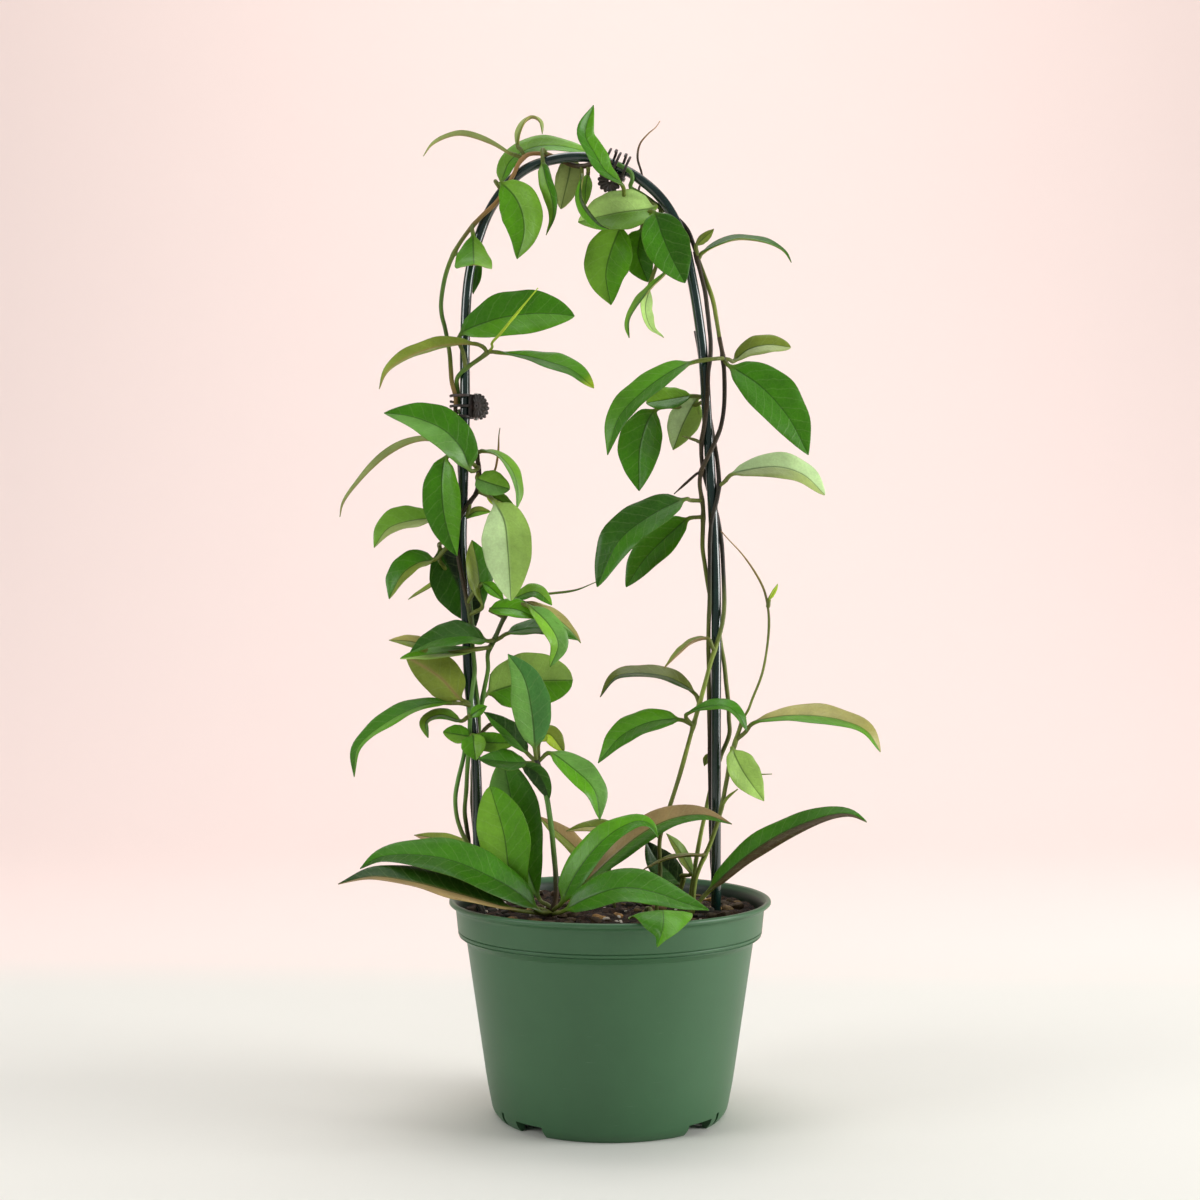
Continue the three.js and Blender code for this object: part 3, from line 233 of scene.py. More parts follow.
class Skin:
    """Collects closed surfaces with their colours, leaf places and materials, and makes one mesh of them."""

    def __init__(self):
        self.points, self.faces, self.tints, self.places, self.shares, self.materials = [], [], [], [], [], []
        self.count = 0

    def add(self, grid, material, tint="mid", place=None, share=None, capped=True):
        """Adds a tube of rings, a grid of stations by ring points. Neighbouring rings are joined by quads and
        each end is closed by a fan from its first point, unless the last ring lies on the first one."""
        stations, ring = grid.shape[:2]
        number = np.arange(stations * ring).reshape(stations, ring) + self.count
        a, b = number[:-1], np.roll(number[:-1], -1, axis=1)
        c, d = number[1:], np.roll(number[1:], -1, axis=1)
        quads = np.stack([a, b, d, c], axis=-1).reshape(-1, 4)
        kinds = np.broadcast_to(material, (stations - 1, ring)).reshape(-1)
        if capped and not np.allclose(grid[0], grid[-1]):
            k = np.arange(1, ring - 1)
            first, last = number[0], number[-1]
            low = np.stack([first[0] + 0 * k, first[k + 1], first[k], first[k]], axis=-1)
            high = np.stack([last[0] + 0 * k, last[k], last[k + 1], last[k + 1]], axis=-1)
            quads = np.vstack([quads, low, high])
            kinds = np.concatenate([kinds, np.full(len(k), kinds[0]), np.full(len(k), kinds[-1])])
        self.points.append(grid.reshape(-1, 3))
        self.faces.append(quads)
        self.materials.append(kinds)
        colour = np.array(linear(TONES[tint])) if isinstance(tint, str) else np.asarray(tint)
        self.tints.append(np.broadcast_to(colour, (stations, ring, 4)).reshape(-1, 4))
        self.places.append(np.zeros((stations * ring, 3)) if place is None else place.reshape(-1, 3))
        self.shares.append(np.zeros((stations * ring, 3)) if share is None else share.reshape(-1, 3))
        self.count += stations * ring

    def mesh(self, name, materials, scale=MM, sharp=None):
        """One mesh of everything added, in metres. A face that names its last corner twice is a triangle."""
        points = np.vstack(self.points) * scale
        faces = np.vstack(self.faces)
        kinds = np.concatenate(self.materials)
        triangle = faces[:, 2] == faces[:, 3]
        size = np.where(triangle, 3, 4)
        keep = np.ones_like(faces, bool)
        keep[triangle, 3] = False
        mesh = bpy.data.meshes.new(name)
        mesh.vertices.add(len(points))
        mesh.loops.add(int(size.sum()))
        mesh.polygons.add(len(faces))
        mesh.vertices.foreach_set("co", points.astype(np.float32).ravel())
        mesh.loops.foreach_set("vertex_index", faces[keep].astype(np.int32))
        mesh.polygons.foreach_set("loop_start", (np.cumsum(size) - size).astype(np.int32))
        mesh.polygons.foreach_set("material_index", kinds.astype(np.int32))
        mesh.polygons.foreach_set("use_smooth", np.ones(len(faces), bool))
        for label, values in (("leaf_place", self.places), ("leaf_share", self.shares)):
            attribute = mesh.attributes.new(label, "FLOAT_VECTOR", "POINT")
            attribute.data.foreach_set("vector", np.vstack(values).astype(np.float32).ravel())
        attribute = mesh.attributes.new("tint", "FLOAT_COLOR", "POINT")
        attribute.data.foreach_set("color", np.vstack(self.tints).astype(np.float32).ravel())
        for material in materials:
            mesh.materials.append(material)
        mesh.update(calc_edges=True)
        mesh.validate()
        if sharp is not None:
            mesh.set_sharp_from_angle(angle=math.radians(sharp))
        return mesh


def shown(name, data):
    """An object in the scene that shows the data."""
    made = bpy.data.objects.new(name, data)
    bpy.context.scene.collection.objects.link(made)
    return made


def link_piece(name, mesh, nodes=(), body="root"):
    """Shows a mesh as one piece on a body of the frame, in place of CAD nodes."""
    piece = shown(name, mesh)
    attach(piece, body)
    if nodes:
        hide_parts(*nodes)


def frames(line):
    """Tangents of a line, and two directions square to them. The first starts from the axis that the line
    keeps furthest away from."""
    along = unit(np.gradient(line, axis=0))
    axis = np.eye(3)[np.argmin(np.abs(along).max(axis=0))]
    side = unit(np.cross(along, axis))
    return along, side, np.cross(along, side)


def tube(line, radius, sides):
    """A round tube: each ring is centre + radius (side cos a + up sin a)."""
    _, side, up = frames(line)
    a = np.linspace(0, 2 * np.pi, sides, endpoint=False)
    r = np.broadcast_to(radius, len(line))[:, None, None]
    ring = side[:, None] * np.cos(a)[None, :, None] + up[:, None] * np.sin(a)[None, :, None]
    return line[:, None] + ring * r


def slow_waves(random, places, waves=4, shortest=0.6):
    """A gentle random curve between -1 and 1 over places: a mean of sines of random length and phase."""
    lengths = shortest * (1 + 3 * random.random(waves))
    phases = 2 * np.pi * random.random(waves)
    return np.sin(2 * np.pi * places[..., None] / lengths + phases).mean(axis=-1) * 1.6


# Leaves and stems

# Places across a blade from rim to rim, closer at the rims and beside the midrib
ACROSS = np.array([1, 0.985, 0.94, 0.85, 0.73, 0.6, 0.47, 0.35, 0.24, 0.15, 0.085, 0.035])
ACROSS = np.concatenate([ACROSS, [0], -ACROSS[::-1]])
RING = np.concatenate([ACROSS, ACROSS[-2:0:-1]])
UPPER = np.arange(len(RING)) < len(ACROSS)
STEM, LEAF_TOP, LEAF_UNDER = 0, 1, 2


def blade_half(t, peak, blunt):
    """Half width along the blade as a share of its greatest: sin(pi t^peak)^blunt. A larger peak moves the
    widest place towards the tip, and a smaller blunt rounds both ends."""
    return np.sin(np.pi * np.clip(t, 0, 1) ** peak).clip(0) ** blunt


def rim_waves(t, counts, phases):
    """A sine along each rim, each with its own number of waves and its own phase."""
    first, second = (np.sin(2 * np.pi * n * t[:, None] + p) for n, p in zip(counts, phases))
    return np.where(RING > 0, first, second)


def blend(first, second, share):
    """The first at share 0 and the second at share 1: first (1 - share) + second share."""
    return first * (1 - share) + second * share


def tone_rows(words):
    """The colours that a leaf's words name: its first half, its second half, its underside and its tip. The
    two halves' colours carry painted light and shade besides the leaf's own colour.
    """
    first, second, under, tip = (words.split() + ["", "", ""])[:4]
    return [np.array(linear(TONES[w])) for w in (first, second or first, under or "olive", tip or first)]


def leaf(skin, random, settings, petiole, blade, width, roll, words, form):
    """One leaf on a petiole, as rings round the midrib's curve. A ring is a circle on the petiole. On the
    blade it is a thin section whose halves rise by half width times sin(fold) times |s|^1.3, with a gentle
    wave along each rim, a groove along the midrib above and a ridge below."""
    fold, facing = form.get("fold", 14), form.get("facing", FACE)
    route = np.vstack([petiole, blade])
    stalk = np.linalg.norm(np.diff(np.vstack([petiole, blade[:1]]), axis=0), axis=1).sum()
    length = spaced(route, [0])[1]
    start = stalk / length
    before = np.linspace(0, start, max(4, int(stalk / 1.5)), endpoint=False)
    s = np.linspace(0, 1, 34)
    t_blade = 0.55 * s + 0.45 * (1 - np.cos(np.pi * s)) / 2
    t = np.concatenate([before / max(start, 1e-9) - 1, t_blade])
    centre, _ = spaced(route, np.concatenate([before, start + (1 - start) * t_blade]))
    along = unit(np.gradient(centre, axis=0))
    face = unit(facing - along * (along @ facing)[:, None])
    side = np.cross(along, face)
    c, w = math.cos(math.radians(roll)), math.sin(math.radians(roll))
    up, across = face * c + side * w, side * c - face * w

    share = blade_half(t, form.get("peak", 0.86), form.get("blunt", 0.85))
    half = np.maximum(0.25, width / 2 * share)[:, None]
    phase = 2 * np.pi * random.random(4)
    rim = np.abs(RING)
    wave = rim_waves(t, (1.9, 2.3), phase[:2])
    ripple = rim_waves(t, (4.3, 3.7), phase[2:])
    x = half * RING * math.cos(math.radians(fold)) * (1 + 0.012 * ripple)
    lift = half * math.sin(math.radians(fold)) * rim ** 1.3
    lift = lift + settings.rim_wave * half * (wave + 0.4 * ripple) * rim ** 3
    lift = lift - 0.05 * half * step_between(0.7, 1, rim)
    skin_half = settings.blade_thickness / MM / 2 * np.sqrt(np.clip(1 - rim ** 6, 0, 1))
    thinner = 1 - 0.45 * step_between(0.5, 1, t[:, None])
    ridge = 0.62 * np.exp(-(x / 0.95) ** 2) * (1 - 0.75 * t[:, None].clip(0, 1))
    groove = 0.2 * np.exp(-(x / 0.5) ** 2) * step_between(0, 0.1, t[:, None])
    y = lift + np.where(UPPER, skin_half * thinner - groove, -skin_half * thinner - ridge)

    turn = np.linspace(0, 2 * np.pi, len(RING), endpoint=False)
    thick = settings.petiole_radius / MM * (1 + 0.06 * slow_waves(random, t * 2)[:, None])
    grown = step_between(0, 0.11, t)[:, None]
    x = blend(thick * np.cos(turn), x, grown)
    y = blend(thick * np.sin(turn), y, grown)
    grid = centre[:, None] + across[:, None] * x[..., None] + up[:, None] * y[..., None]

    # The upper face has a tone for each half and one for its tip, the underside a browner rib, and both have
    # a dull rim and take on the stem's tone at the petiole. The halves' tones hold painted light and shade as
    # well as the leaf's colour: a half that catches the light has a lighter tone and a shaded half a darker
    # one
    first, second, under, tip = tone_rows(words)
    moss, rosy = np.array(linear(TONES["moss"])), np.array(linear(TONES["rosy"]))
    top = blend(second, first, step_between(-0.12, 0.12, RING)[None, :, None])
    top = blend(top, tip, step_between(0.84, 0.97, t)[:, None, None] * (len(words.split()) > 3))
    shade = 1 + 0.13 * slow_waves(random, t)[:, None, None] - 0.10 * step_between(0.25, 0, t)[:, None, None]
    back = blend(under * shade, rosy, 0.55 * np.exp(-(x / 1.1) ** 2)[..., None])
    tint = np.where(UPPER[None, :, None], top * shade, back)
    tint = blend(tint, moss, 0.5 * step_between(0.975, 1, rim)[None, :, None])
    tint = blend(tint, moss, (1 - step_between(-0.05, 0.12, t))[:, None, None])
    tint[..., 3] = 1

    mm_along = (t * (1 - start) * length)[:, None] * np.ones_like(x)
    offset = 40 * random.random(2)
    place = np.stack([x, mm_along, np.full_like(x, offset[0])], axis=-1)
    share = np.stack([rim * np.ones_like(x), np.clip(t, 0, 1)[:, None] * np.ones_like(x),
                      grown * np.ones_like(x)], axis=-1)
    top_face = np.arange(len(RING)) < len(ACROSS) - 1
    kinds = np.where(top_face, LEAF_TOP, LEAF_UNDER)[None] * np.ones((len(t) - 1, 1), int)
    kinds[t[:-1] < 0] = STEM
    skin.add(grid, kinds, tint, place, share)


def strand(skin, random, points, radius, words, joints=(), sides=12, step=1.3, taper=False):
    """A stem along a curve, thicker where leaves grow from it. Its colour runs through the named tones, a
    little darker and browner in slow patches."""
    length = spaced(points, [0])[1]
    shares = np.linspace(0, 1, max(8, int(length / step)))
    line, _ = spaced(points, shares)
    at = shares * length
    swell = np.ones(len(at)) + 0.05 * slow_waves(random, at / 20)
    for joint in joints:
        nearest = at[np.argmin(np.linalg.norm(line - joint, axis=1))]
        swell = swell + 0.2 * np.exp(-((at - nearest) / 2.2) ** 2)
    swell = np.minimum(swell, 1.26)
    if taper:
        swell = swell * (1 - 0.6 * step_between(0.55, 1, shares))
    names = words.split()
    tones = np.array([linear(TONES[n]) for n in names])
    stops = np.linspace(0, 1, len(names))
    tint = np.stack([np.interp(shares, stops, tones[:, k]) for k in range(4)], axis=1)
    tint = tint * (1 + 0.22 * slow_waves(random, at / 30))[:, None]
    tint[:, 3] = 1
    grid = tube(line, radius * swell, sides)
    place = np.stack([np.broadcast_to(np.linspace(0, 2 * np.pi * radius, sides), grid.shape[:2]),
                      np.broadcast_to(at[:, None], grid.shape[:2]), np.zeros(grid.shape[:2])], axis=-1)
    skin.add(grid, STEM, tint[:, None], place)


# Each leafy stem: its stem's points and tones, its leaves and its side twigs. A leaf is where its petiole
# starts, its midrib (x, z, y), its width, its roll, its tones and, where it differs, its form. A leaf's tones
# give each half its colour together with painted light and shade
PLANTS = {
    "vine_left_low": dict(
        stem=[
            planted(-62, -14),
            twine(L=[
                (112, -100, 9), (124, -125, 6.5), (133, -150, 4.4), (140, -170, 7.5), (148, -179, 10.2),
                (158, -180, 11), (167, -185, 9.4), (178, -200, 6.9), (190, -240, 6.9), (200, -300, 6.9),
                (212, -350, 7.4), (222, -365, 10), (230, -370, 10.5),
            ]),
            seen([(-58.5, 238, -4), (-54, 248, -4), (-48, 257.5, -3)]),
        ],
        tones="night night moss dusk dusk green bark",
        leaves=[
            ((-49, 257), [(-49, 257, -3), (-38.5, 261, -4), (-30, 254.5, -5)],
             11, -38, "mid light", dict(blunt=0.7)),
            ((-54, 249), [(-61, 252, -7), (-50, 252.5, -9), (-37, 248, -11)],
             13, -32, "bright bright", dict(blunt=0.7)),
            ((-49, 256), [(-45, 256, -4), (-33, 251, -5), (-22, 243, -6), (-15.5, 235.5, -7)], 13, -58,
             "dusk straw"),
            ((-49, 256), [(-42, 254, -10), (-32, 245, -13), (-27, 235, -13), (-31, 223.5, -12)], 14, -35,
             "light dusk"),
            ((-58.5, 236), [(-53, 240, -2), (-35, 242.5, -1), (-17, 237, -1)], 16, -48, "mid mid"),
            ((-59, 237), [(-62, 236.5, -9), (-72, 239, -13), (-88, 237, -15), (-101, 231, -16)], 22, 45,
             "deep mid"),
            ((-60, 234), [(-66, 232.5, -8), (-79, 230.5, -9), (-92, 229.5, -10), (-106, 227.8, -10)],
             14, 52, "bright pale olive", dict(peak=1.1, blunt=0.7)),
            ((-60, 233), [(-86, 231, -6), (-100, 236, -7), (-111.5, 237, -8)], 9, 30, "straw olive straw"),
            ((-67, 208), [(-62.5, 210, 6), (-43, 215.8, 9), (-19.5, 217, 10)],
             30, -4, "bright pale", dict(peak=1, blunt=0.5)),
        ],
        twigs=[((-49, 257.5), [(-44, 258.5, -2), (-33, 260, -1), (-18, 262, 0), (-8, 266, 1)], 0.65,
        "moss green")],
    ),
    "vine_left_middle": dict(
        stem=[
            planted(-64, -6.5),
            twine(L=[
                (117, -150, 6.5), (126, -175, 6), (135, -198, 5), (143, -200, 6), (152, -148, 7.2),
                (172, -140, 5.6), (188, -120, 4.6), (203, -95, 4.2), (222, -35, 4.2), (250, -60),
                (275, -110), (290, -140), (299, -95), (306, -40, 5), (312, -8, 7.4), (325, -5, 7.2),
                (335, 20, 5), (345, 95), (353, 140),
            ]),
        ],
        tones="night night bark green dusk green bark night bark green",
        leaves=[
            # The dusk tone on this leaf's lower half paints the broad pale highlight band that lies across it
            ((-67, 323), [(-70.5, 321.5, -8), (-75, 332, -11), (-83.5, 341.5, -14), (-93, 346.3, -15),
             (-103, 349.3, -16), (-114, 350.5, -16)], 23, 20, "mid dusk"),
            ((-67, 331), [(-76, 334, 7), (-95, 337.2, 6), (-112, 330, 5), (-128, 314.5, 4), (-134.6, 305,
             3.5),
             (-136.2, 298.5, 3)], 12, 90, "light sage sage"),
            ((-69, 322), [(-82, 329, -5), (-85, 318, -6), (-84, 300, -7), (-81, 288, -7), (-77.5, 279, -7)],
             20, 8, "mid bright"),
            ((-67, 331), [(-65, 331.5, -3), (-58, 330, -4), (-50, 321.5, -5), (-47, 311, -5),
             (-47.5, 302.5, -5)], 13, -60, "dusk light"),
            ((-68, 321), [(-67.5, 318, -3), (-61, 315.3, -5), (-51, 312.5, -5)],
             14, -8, "dusk light", dict(blunt=0.6)),
            ((-67, 312), [(-63, 310, -2), (-56, 306.5, -3), (-48.5, 303, -3)], 9, -20, "young light"),
            ((-71, 305), [(-72.5, 298.5, -5), (-68, 301, -5), (-60.5, 301.2, -5)], 6, -20, "light olive"),
            # The whitish tone on this leaf's first half is a painted highlight, the broad pale gloss that
            # lies along it
            ((-67, 311), [(-59, 306, -9), (-54, 297, -12), (-52, 281, -13), (-50.5, 256.5, -13)],
             25.5, 4, "wax pale", dict(blunt=0.75)),
            ((-77, 291), [(-88, 297.2, -2), (-102, 296.2, -4), (-112, 292.5, -5), (-119, 283.2, -6)],
             20, 36, "light sage", dict(fold=22)),
            ((-77, 287), [(-88, 277.5, -3), (-96.5, 275.5, -4), (-104.5, 270, -6), (-111.5, 257.5, -7)],
             20, 40, "mid olive", dict(fold=22)),
            # This leaf's near-black tones paint the shadow it lies in, behind the wire
            ((-78, 288), [(-86, 283, 8), (-77, 264, 9), (-68, 244, 9)], 26, 0, "deep black"),
            ((-78, 288), [(-83, 270, 13), (-90, 264.5, 14), (-96, 260.8, 14), (-102, 257.3, 13)], 7, 60,
             "olive"),
            ((-70, 250), [(-65, 253, -5), (-66, 262, -6), (-67.5, 275, -7), (-70, 287, -6)],
             17, 38, "mid olive", dict(peak=1.2)),
            ((-71, 256), [(-65, 265, -6), (-54, 257, -8)], 8, -30, "bright"),
            ((-71, 204), [(-75, 207, -6), (-86, 218.5, -2), (-103, 229, 4)],
             22, 158, "mid mid olive", dict(blunt=0.7)),
            ((-71, 204), [(-80, 205.5, -5), (-95, 204, -7), (-112, 196, -9), (-127, 183, -11),
                          (-129, 168.5, -12)], 19, 55, "mid bright rosy"),
            ((-71.5, 199), [(-75, 196.5, -6), (-86, 199.5, -7), (-93, 196, -7), (-92, 188, -7)],
             12, 54, "light mid light", dict(blunt=0.7)),
            ((-73, 200), [(-70.5, 199, -9), (-66.5, 202, -10), (-62.5, 204, -9)], 6, 0, "bright bright"),
            ((-72, 188), [(-66, 190, -6), (-60, 194.5, -6), (-54, 192.5, -6)], 5, -60, "umber"),
            ((-72, 187), [(-71, 188.5, -8), (-77, 189.7, -9), (-84.5, 191, -10)],
             10, 10, "bright light", dict(blunt=0.65)),
            ((-72, 186), [(-70, 186.5, -8), (-60, 185.6, -9), (-48.5, 185.5, -9)],
             11, -14, "light bright", dict(blunt=0.65)),
            ((-72, 187), [(-69.5, 189.5, -9), (-69, 184, -13), (-68, 176.8, -15)], 13, 5, "bright light"),
        ],
        twigs=[((-67, 318), [(-59, 321, 3), (-57, 330, 3), (-56.5, 340, 3), (-56, 343, 3)], 0.6,
        "moss tan moss")],
    ),
    "vine_left_tall": dict(
        stem=[
            planted(-62, 11.5),
            twine(L=[
                (117, 95, 9), (127, 100, 7), (140, 110, 5), (156, 130, 4.4), (172, 118, 4.4), (188, 62, 4.1),
                (203, 35, 4.1), (214, 42, 4.1), (226, 58, 4.1), (240, 50, 4.1), (262, 60, 4.1), (300, 95),
                (330, 135), (345, 170, 4.2), (350, 183, 4.7), (353.5, 189, 4.8),
            ]),
        ],
        tones="night night bark green dusk bark night bark",
    ),
    "vine_left_high": dict(
        stem=[
            twine(L=[(354.4, 150), (362, 160, 4), (366.5, 197, 4.2), (369.5, 245, 4.6), (372.5, 290, 5.6)]),
            seen([(-65, 378.5, -6), (-62, 381, -7)]),
        ],
        tones="green green moss",
        leaves=[
            ((-72, 371), [(-76.5, 388.5, -7), (-60, 396.8, -9), (-42, 400, -9), (-30, 400.2, -9),
             (-18.7, 399, -8)], 27, -12, "bright mid", dict(peak=1.08, blunt=0.7)),
            ((-63, 381), [(-68, 385, -9), (-86, 384.5, -11), (-103, 378.5, -13), (-112.5, 371.5, -14),
             (-116.5, 362.5, -14)], 15, 96, "olive mid olive"),
            ((-62, 381), [(-57, 380.8, -8), (-42, 378.6, -9), (-30, 375.4, -10), (-20, 371.8, -10),
             (-9, 363, -10)], 17, -42, "mid bright olive young", dict(peak=1.5, blunt=0.7)),
        ],
        twigs=[((-62, 381), [(-60, 385.5, -14), (-56, 390, -20), (-47, 401, -21), (-37, 413, -20)], 0.7,
                "moss young young young")],
    ),
    "vine_arch_left": dict(
        stem=[
            twine(L=[
                (354.6, 190, 4.6), (359, 189, 4.8), (366, 184, 6.5), (380, 180, 7.6), (392, 180, 10),
                (399, 180, 12), (405, 180, 12.6), (418, 180, 11.6), (428, 182, 9.6), (438, 200, 6.5),
                (447, 240, 4.4), (456, 290), (462, 290),
            ], A=[
                (-49, 260), (-44, 215, 5), (-39, 180, 6), (-32, 150, 4.4), (-25, 80, 4.5), (-18, 25, 4.6),
                (-11, -30, 4.6), (-6.5, -80, 4), (0.2, -88, 3.9),
            ]),
        ],
        tones="tan moss green green moss tan tan tan bark bark",
        leaves=[
            ((-44, 477), [(-50, 480, -3), (-61, 485.8, -4), (-77, 489.8, -6), (-89.5, 485, -8),
             (-94.5, 479, -9)], 10, 80, "pale sage sage"),
            ((-43, 478), [(-47.2, 484, 2), (-46.3, 491, 3), (-43.3, 496.5, 3.5), (-39.5, 498.3, 4),
             (-36, 496, 5), (-34.7, 490, 6)], 10, -64, "olive sage straw"),
            ((-56, 461), [(-55.5, 465, 7), (-51, 476, 8), (-41, 482.5, 9), (-28, 484, 9.5), (-10, 480.5, 10)],
             17, -35, "bright light", dict(blunt=0.7)),
            ((-56, 461), [(-56.3, 466, -6), (-48.9, 459, -8), (-44.8, 450, -10), (-44, 440, -11),
             (-47.5, 427.5, -11)], 21.5, 8, "bright light"),
            ((-33, 479), [(-34.5, 476, -7), (-32.8, 467, -8), (-29.8, 457, -8), (-29.6, 448, -8),
             (-33, 439.5, -8)], 10, 46, "light mid", dict(peak=0.6)),
            ((-20, 478), [(-20.5, 479, 6), (-21.3, 471, 7), (-23.6, 461, 7.5), (-25.6, 452.5, 7.5)],
             13.5, -12, "sage sage", dict(peak=0.8, blunt=0.65)),
            ((-15, 473), [(-15, 469, -7), (-16, 458, -11), (-12, 450, -15), (-6, 444, -17),
                          (-1.5, 442.5, -18)], 10, 70, "bright dark"),
            ((-12, 473), [(-12, 470, 3), (-13, 463, 4), (-13.5, 454, 4)], 8.5, 30, "light"),
            ((-68, 443), [(-69.5, 440, -7), (-69.4, 433, -9.5), (-69.2, 427, -14), (-69, 424.8, -21),
             (-69, 425, -28)], 19, 0, "bright light", dict(fold=-12, facing=SKY, peak=1.15, blunt=0.7)),
            ((-78, 430), [(-68, 428, 5), (-67.8, 420, 5), (-69.5, 410, 5)], 7, 20, "mid"),
        ],
    ),
    "vine_right_low": dict(
        stem=[
            planted(23, -6),
            seen([
                (24, 120, -6), (24, 138, -7), (28, 151, -7), (34, 170, -7), (39.5, 190, -7), (44, 206, -7),
                (47, 217, -7), (50, 228, -6.5),
            ]),
            twine(R=[
                (240, -105, 5), (255, -160, 4.2), (270, -180), (285, -200), (300, -240), (312, -290),
                (325, -340), (335, -380), (345, -425), (357, -455), (370, -475), (385, -530, 4.4),
                (410, -540, 5.2), (430, -540, 4.2),
            ]),
        ],
        tones="bark moss moss olive olive night night bark night bark",
        leaves=[
            ((40, 194), [(37, 199.5, -13), (46, 203.2, -14), (56, 204, -14), (63, 199.5, -14),
             (67.5, 191.3, -14)], 13, -54, "mid mid", dict(peak=1.25)),
            ((40, 194), [(35, 197, -9), (20, 196, -11), (5, 189, -13), (-7, 175.5, -14)], 20, 44,
             "bright mid"),
            ((44, 205), [(42, 209.5, -5), (30, 217.5, -4), (14, 220.3, -4), (2, 218.5, -4), (-6, 208.5, -5)],
             18, 58, "moss dark umber", dict(peak=0.75)),
            ((50, 232), [(48, 237.8, -8), (40, 236, -8), (33, 230, -8), (26, 223, -8)], 12, 72,
             "olive rosy rosy"),
            ((42, 428), [(42, 434, -2), (51, 442.5, -3)], 6, 50, "olive moss"),
            ((42, 426), [(44.5, 430, 0), (52, 434.5, 0), (63, 437.6, -1), (78, 435.6, -2), (86, 431.3, -2.5),
             (89.8, 425.8, -3)], 12, -56, "mid deep olive"),
        ],
        twigs=[((47, 336), [(43, 336.5, -7), (35, 339, -8)], 0.8, "bark moss")],
    ),
    "vine_right_side": dict(
        stem=[
            planted(41, -8),
            seen([
                (42, 118, -8), (49, 135, -7), (54, 150, -6.5), (57, 165, -6), (60, 180, -5), (62, 187, -4),
                (66, 199, -4),
            ]),
        ],
        tones="moss olive olive moss olive",
        leaves=[
            ((60, 184), [(60, 183, -8), (65, 172, -10), (76, 156.5, -11)], 17.5, -20, "pale pale",
             dict(peak=0.8)),
            ((47, 129), [(46, 129.5, -10), (38, 129.3, -12.5), (28, 127.8, -13), (15, 122, -12)], 7, 74,
             "olive rosy"),
            ((62, 187), [(70, 195, -6), (84, 198.6, -8), (100, 199, -10), (116, 196.4, -11), (127.5, 191.2,
             -12),
             (134.3, 181, -12)], 19, -50, "bright straw rosy", dict(peak=1.1, blunt=0.7)),
            ((78, 253), [(78.5, 257, 1), (83, 265, 1)], 4, 60, "young"),
        ],
        twigs=[
            ((66, 198), [(70, 207, -3), (75, 220, -2), (77.5, 233, 0), (78.5, 245, 1), (78, 253, 1),
                         (76, 262, 1), (72, 270, 1), (65, 280, 0), (58.5, 287, -2), (54.5, 291.5, -6)], 0.65,
             "olive moss tan"),
            ((55, 154), [(58, 158.5, -7), (63, 162.5, -7)], 0.8, "olive"),
            ((59, 174), [(66, 172.5, 0), (73, 170, 1), (80, 170, 1)], 0.6, "olive"),
        ],
    ),
    "vine_right_middle": dict(
        stem=[
            planted(40, 8),
            seen([(40, 114, 8), (44, 138, 9), (47, 152, 9), (50, 165, 9), (54, 178, 8)]),
            twine(R=[
                (190, 150, 8), (205, 155, 7), (225, 145, 5), (240, 115), (255, 60), (268, 22, 4.6),
                (283, 5, 6), (303, 0, 4.8), (315, -5, 5.8), (322, -25, 5.2), (333, -110, 4.2),
                (343, -170, 6.5), (352, -180, 8.6), (365, -180, 9.7), (377, -180, 9.8), (386.8, -180, 9),
            ]),
        ],
        tones="olive olive olive moss moss olive moss bark night bark",
        leaves=[
            ((54, 377), [(41, 376, -9), (30, 371.3, -11), (15, 360.5, -13), (3.5, 348, -14),
             (-2.3, 329.5, -15)], 21, 40, "bright mid rosy"),
            ((55, 376), [(58, 374.5, -5), (74, 364, -8), (88, 348.5, -10), (98.2, 329.5, -11)], 27, -14,
             "mid mid"),
            ((55, 378), [(60.5, 376.3, 4), (68, 382, 5), (78, 384.5, 5.5), (89.5, 383.3, 6)],
             13, -22, "sage olive", dict(peak=1.15, blunt=0.6)),
            ((44, 307), [(37, 307.5, -8), (20, 299.5, -13), (3.5, 286.5, -15), (-7.5, 263.5, -15)],
             24, 30, "deep mid rosy", dict(blunt=0.75)),
            ((45, 298), [(39, 298, 0), (29, 290, 1), (16.5, 277.5, 1), (7, 263.5, 0)],
             20, 24, "mid mid", dict(blunt=0.75)),
            ((52, 177), [(49, 180, 8), (46, 174, 8)], 4, 30, "olive"),
        ],
        twigs=[((44, 321), [(41, 319, -2), (31, 310, -3)], 0.7, "night bark")],
    ),
    "vine_arch_right": dict(
        stem=[
            twine(R=[
                (387, -180, 9), (405, -188, 8.6), (427, -215, 6.2),
            ], A=[
                (34, -220, 5), (30, -260, 4.4), (24, -330, 4.4), (18, -355, 5.5), (13, -362, 6),
                (12, -410, 4.8), (10, -440, 4.1), (7, -450, 3.9), (1.7, -455, 3.9),
            ]),
        ],
        tones="moss olive night night green dusk",
        leaves=[
            # The very pale tone on this leaf's first half lightens it against the shade it lies in: painted
            # light
            ((17, 459), [(22, 453.5, -3), (2, 450.3, -4), (-17, 446, -4)], 26, 16, "fresh light",
             dict(blunt=0.7)),
            ((14, 461), [(5, 445, 5), (-3, 421, 5), (-0.5, 404.5, 5)], 24.5, 0, "light bright"),
            ((19, 458), [(21, 451, -10), (25.5, 438.5, -13), (30, 428, -14), (36.5, 415.5, -14)],
             24, -5, "mid deep", dict(blunt=0.75)),
            ((18, 459), [(15, 443, 9), (13, 430, 9), (18, 416, 9)], 17, 8, "bright mid", dict(blunt=0.7)),
            ((24, 453), [(27, 422, 1), (20, 414, 0), (12, 404, -1), (8, 396, -1), (8.5, 388, -1)], 12, 64,
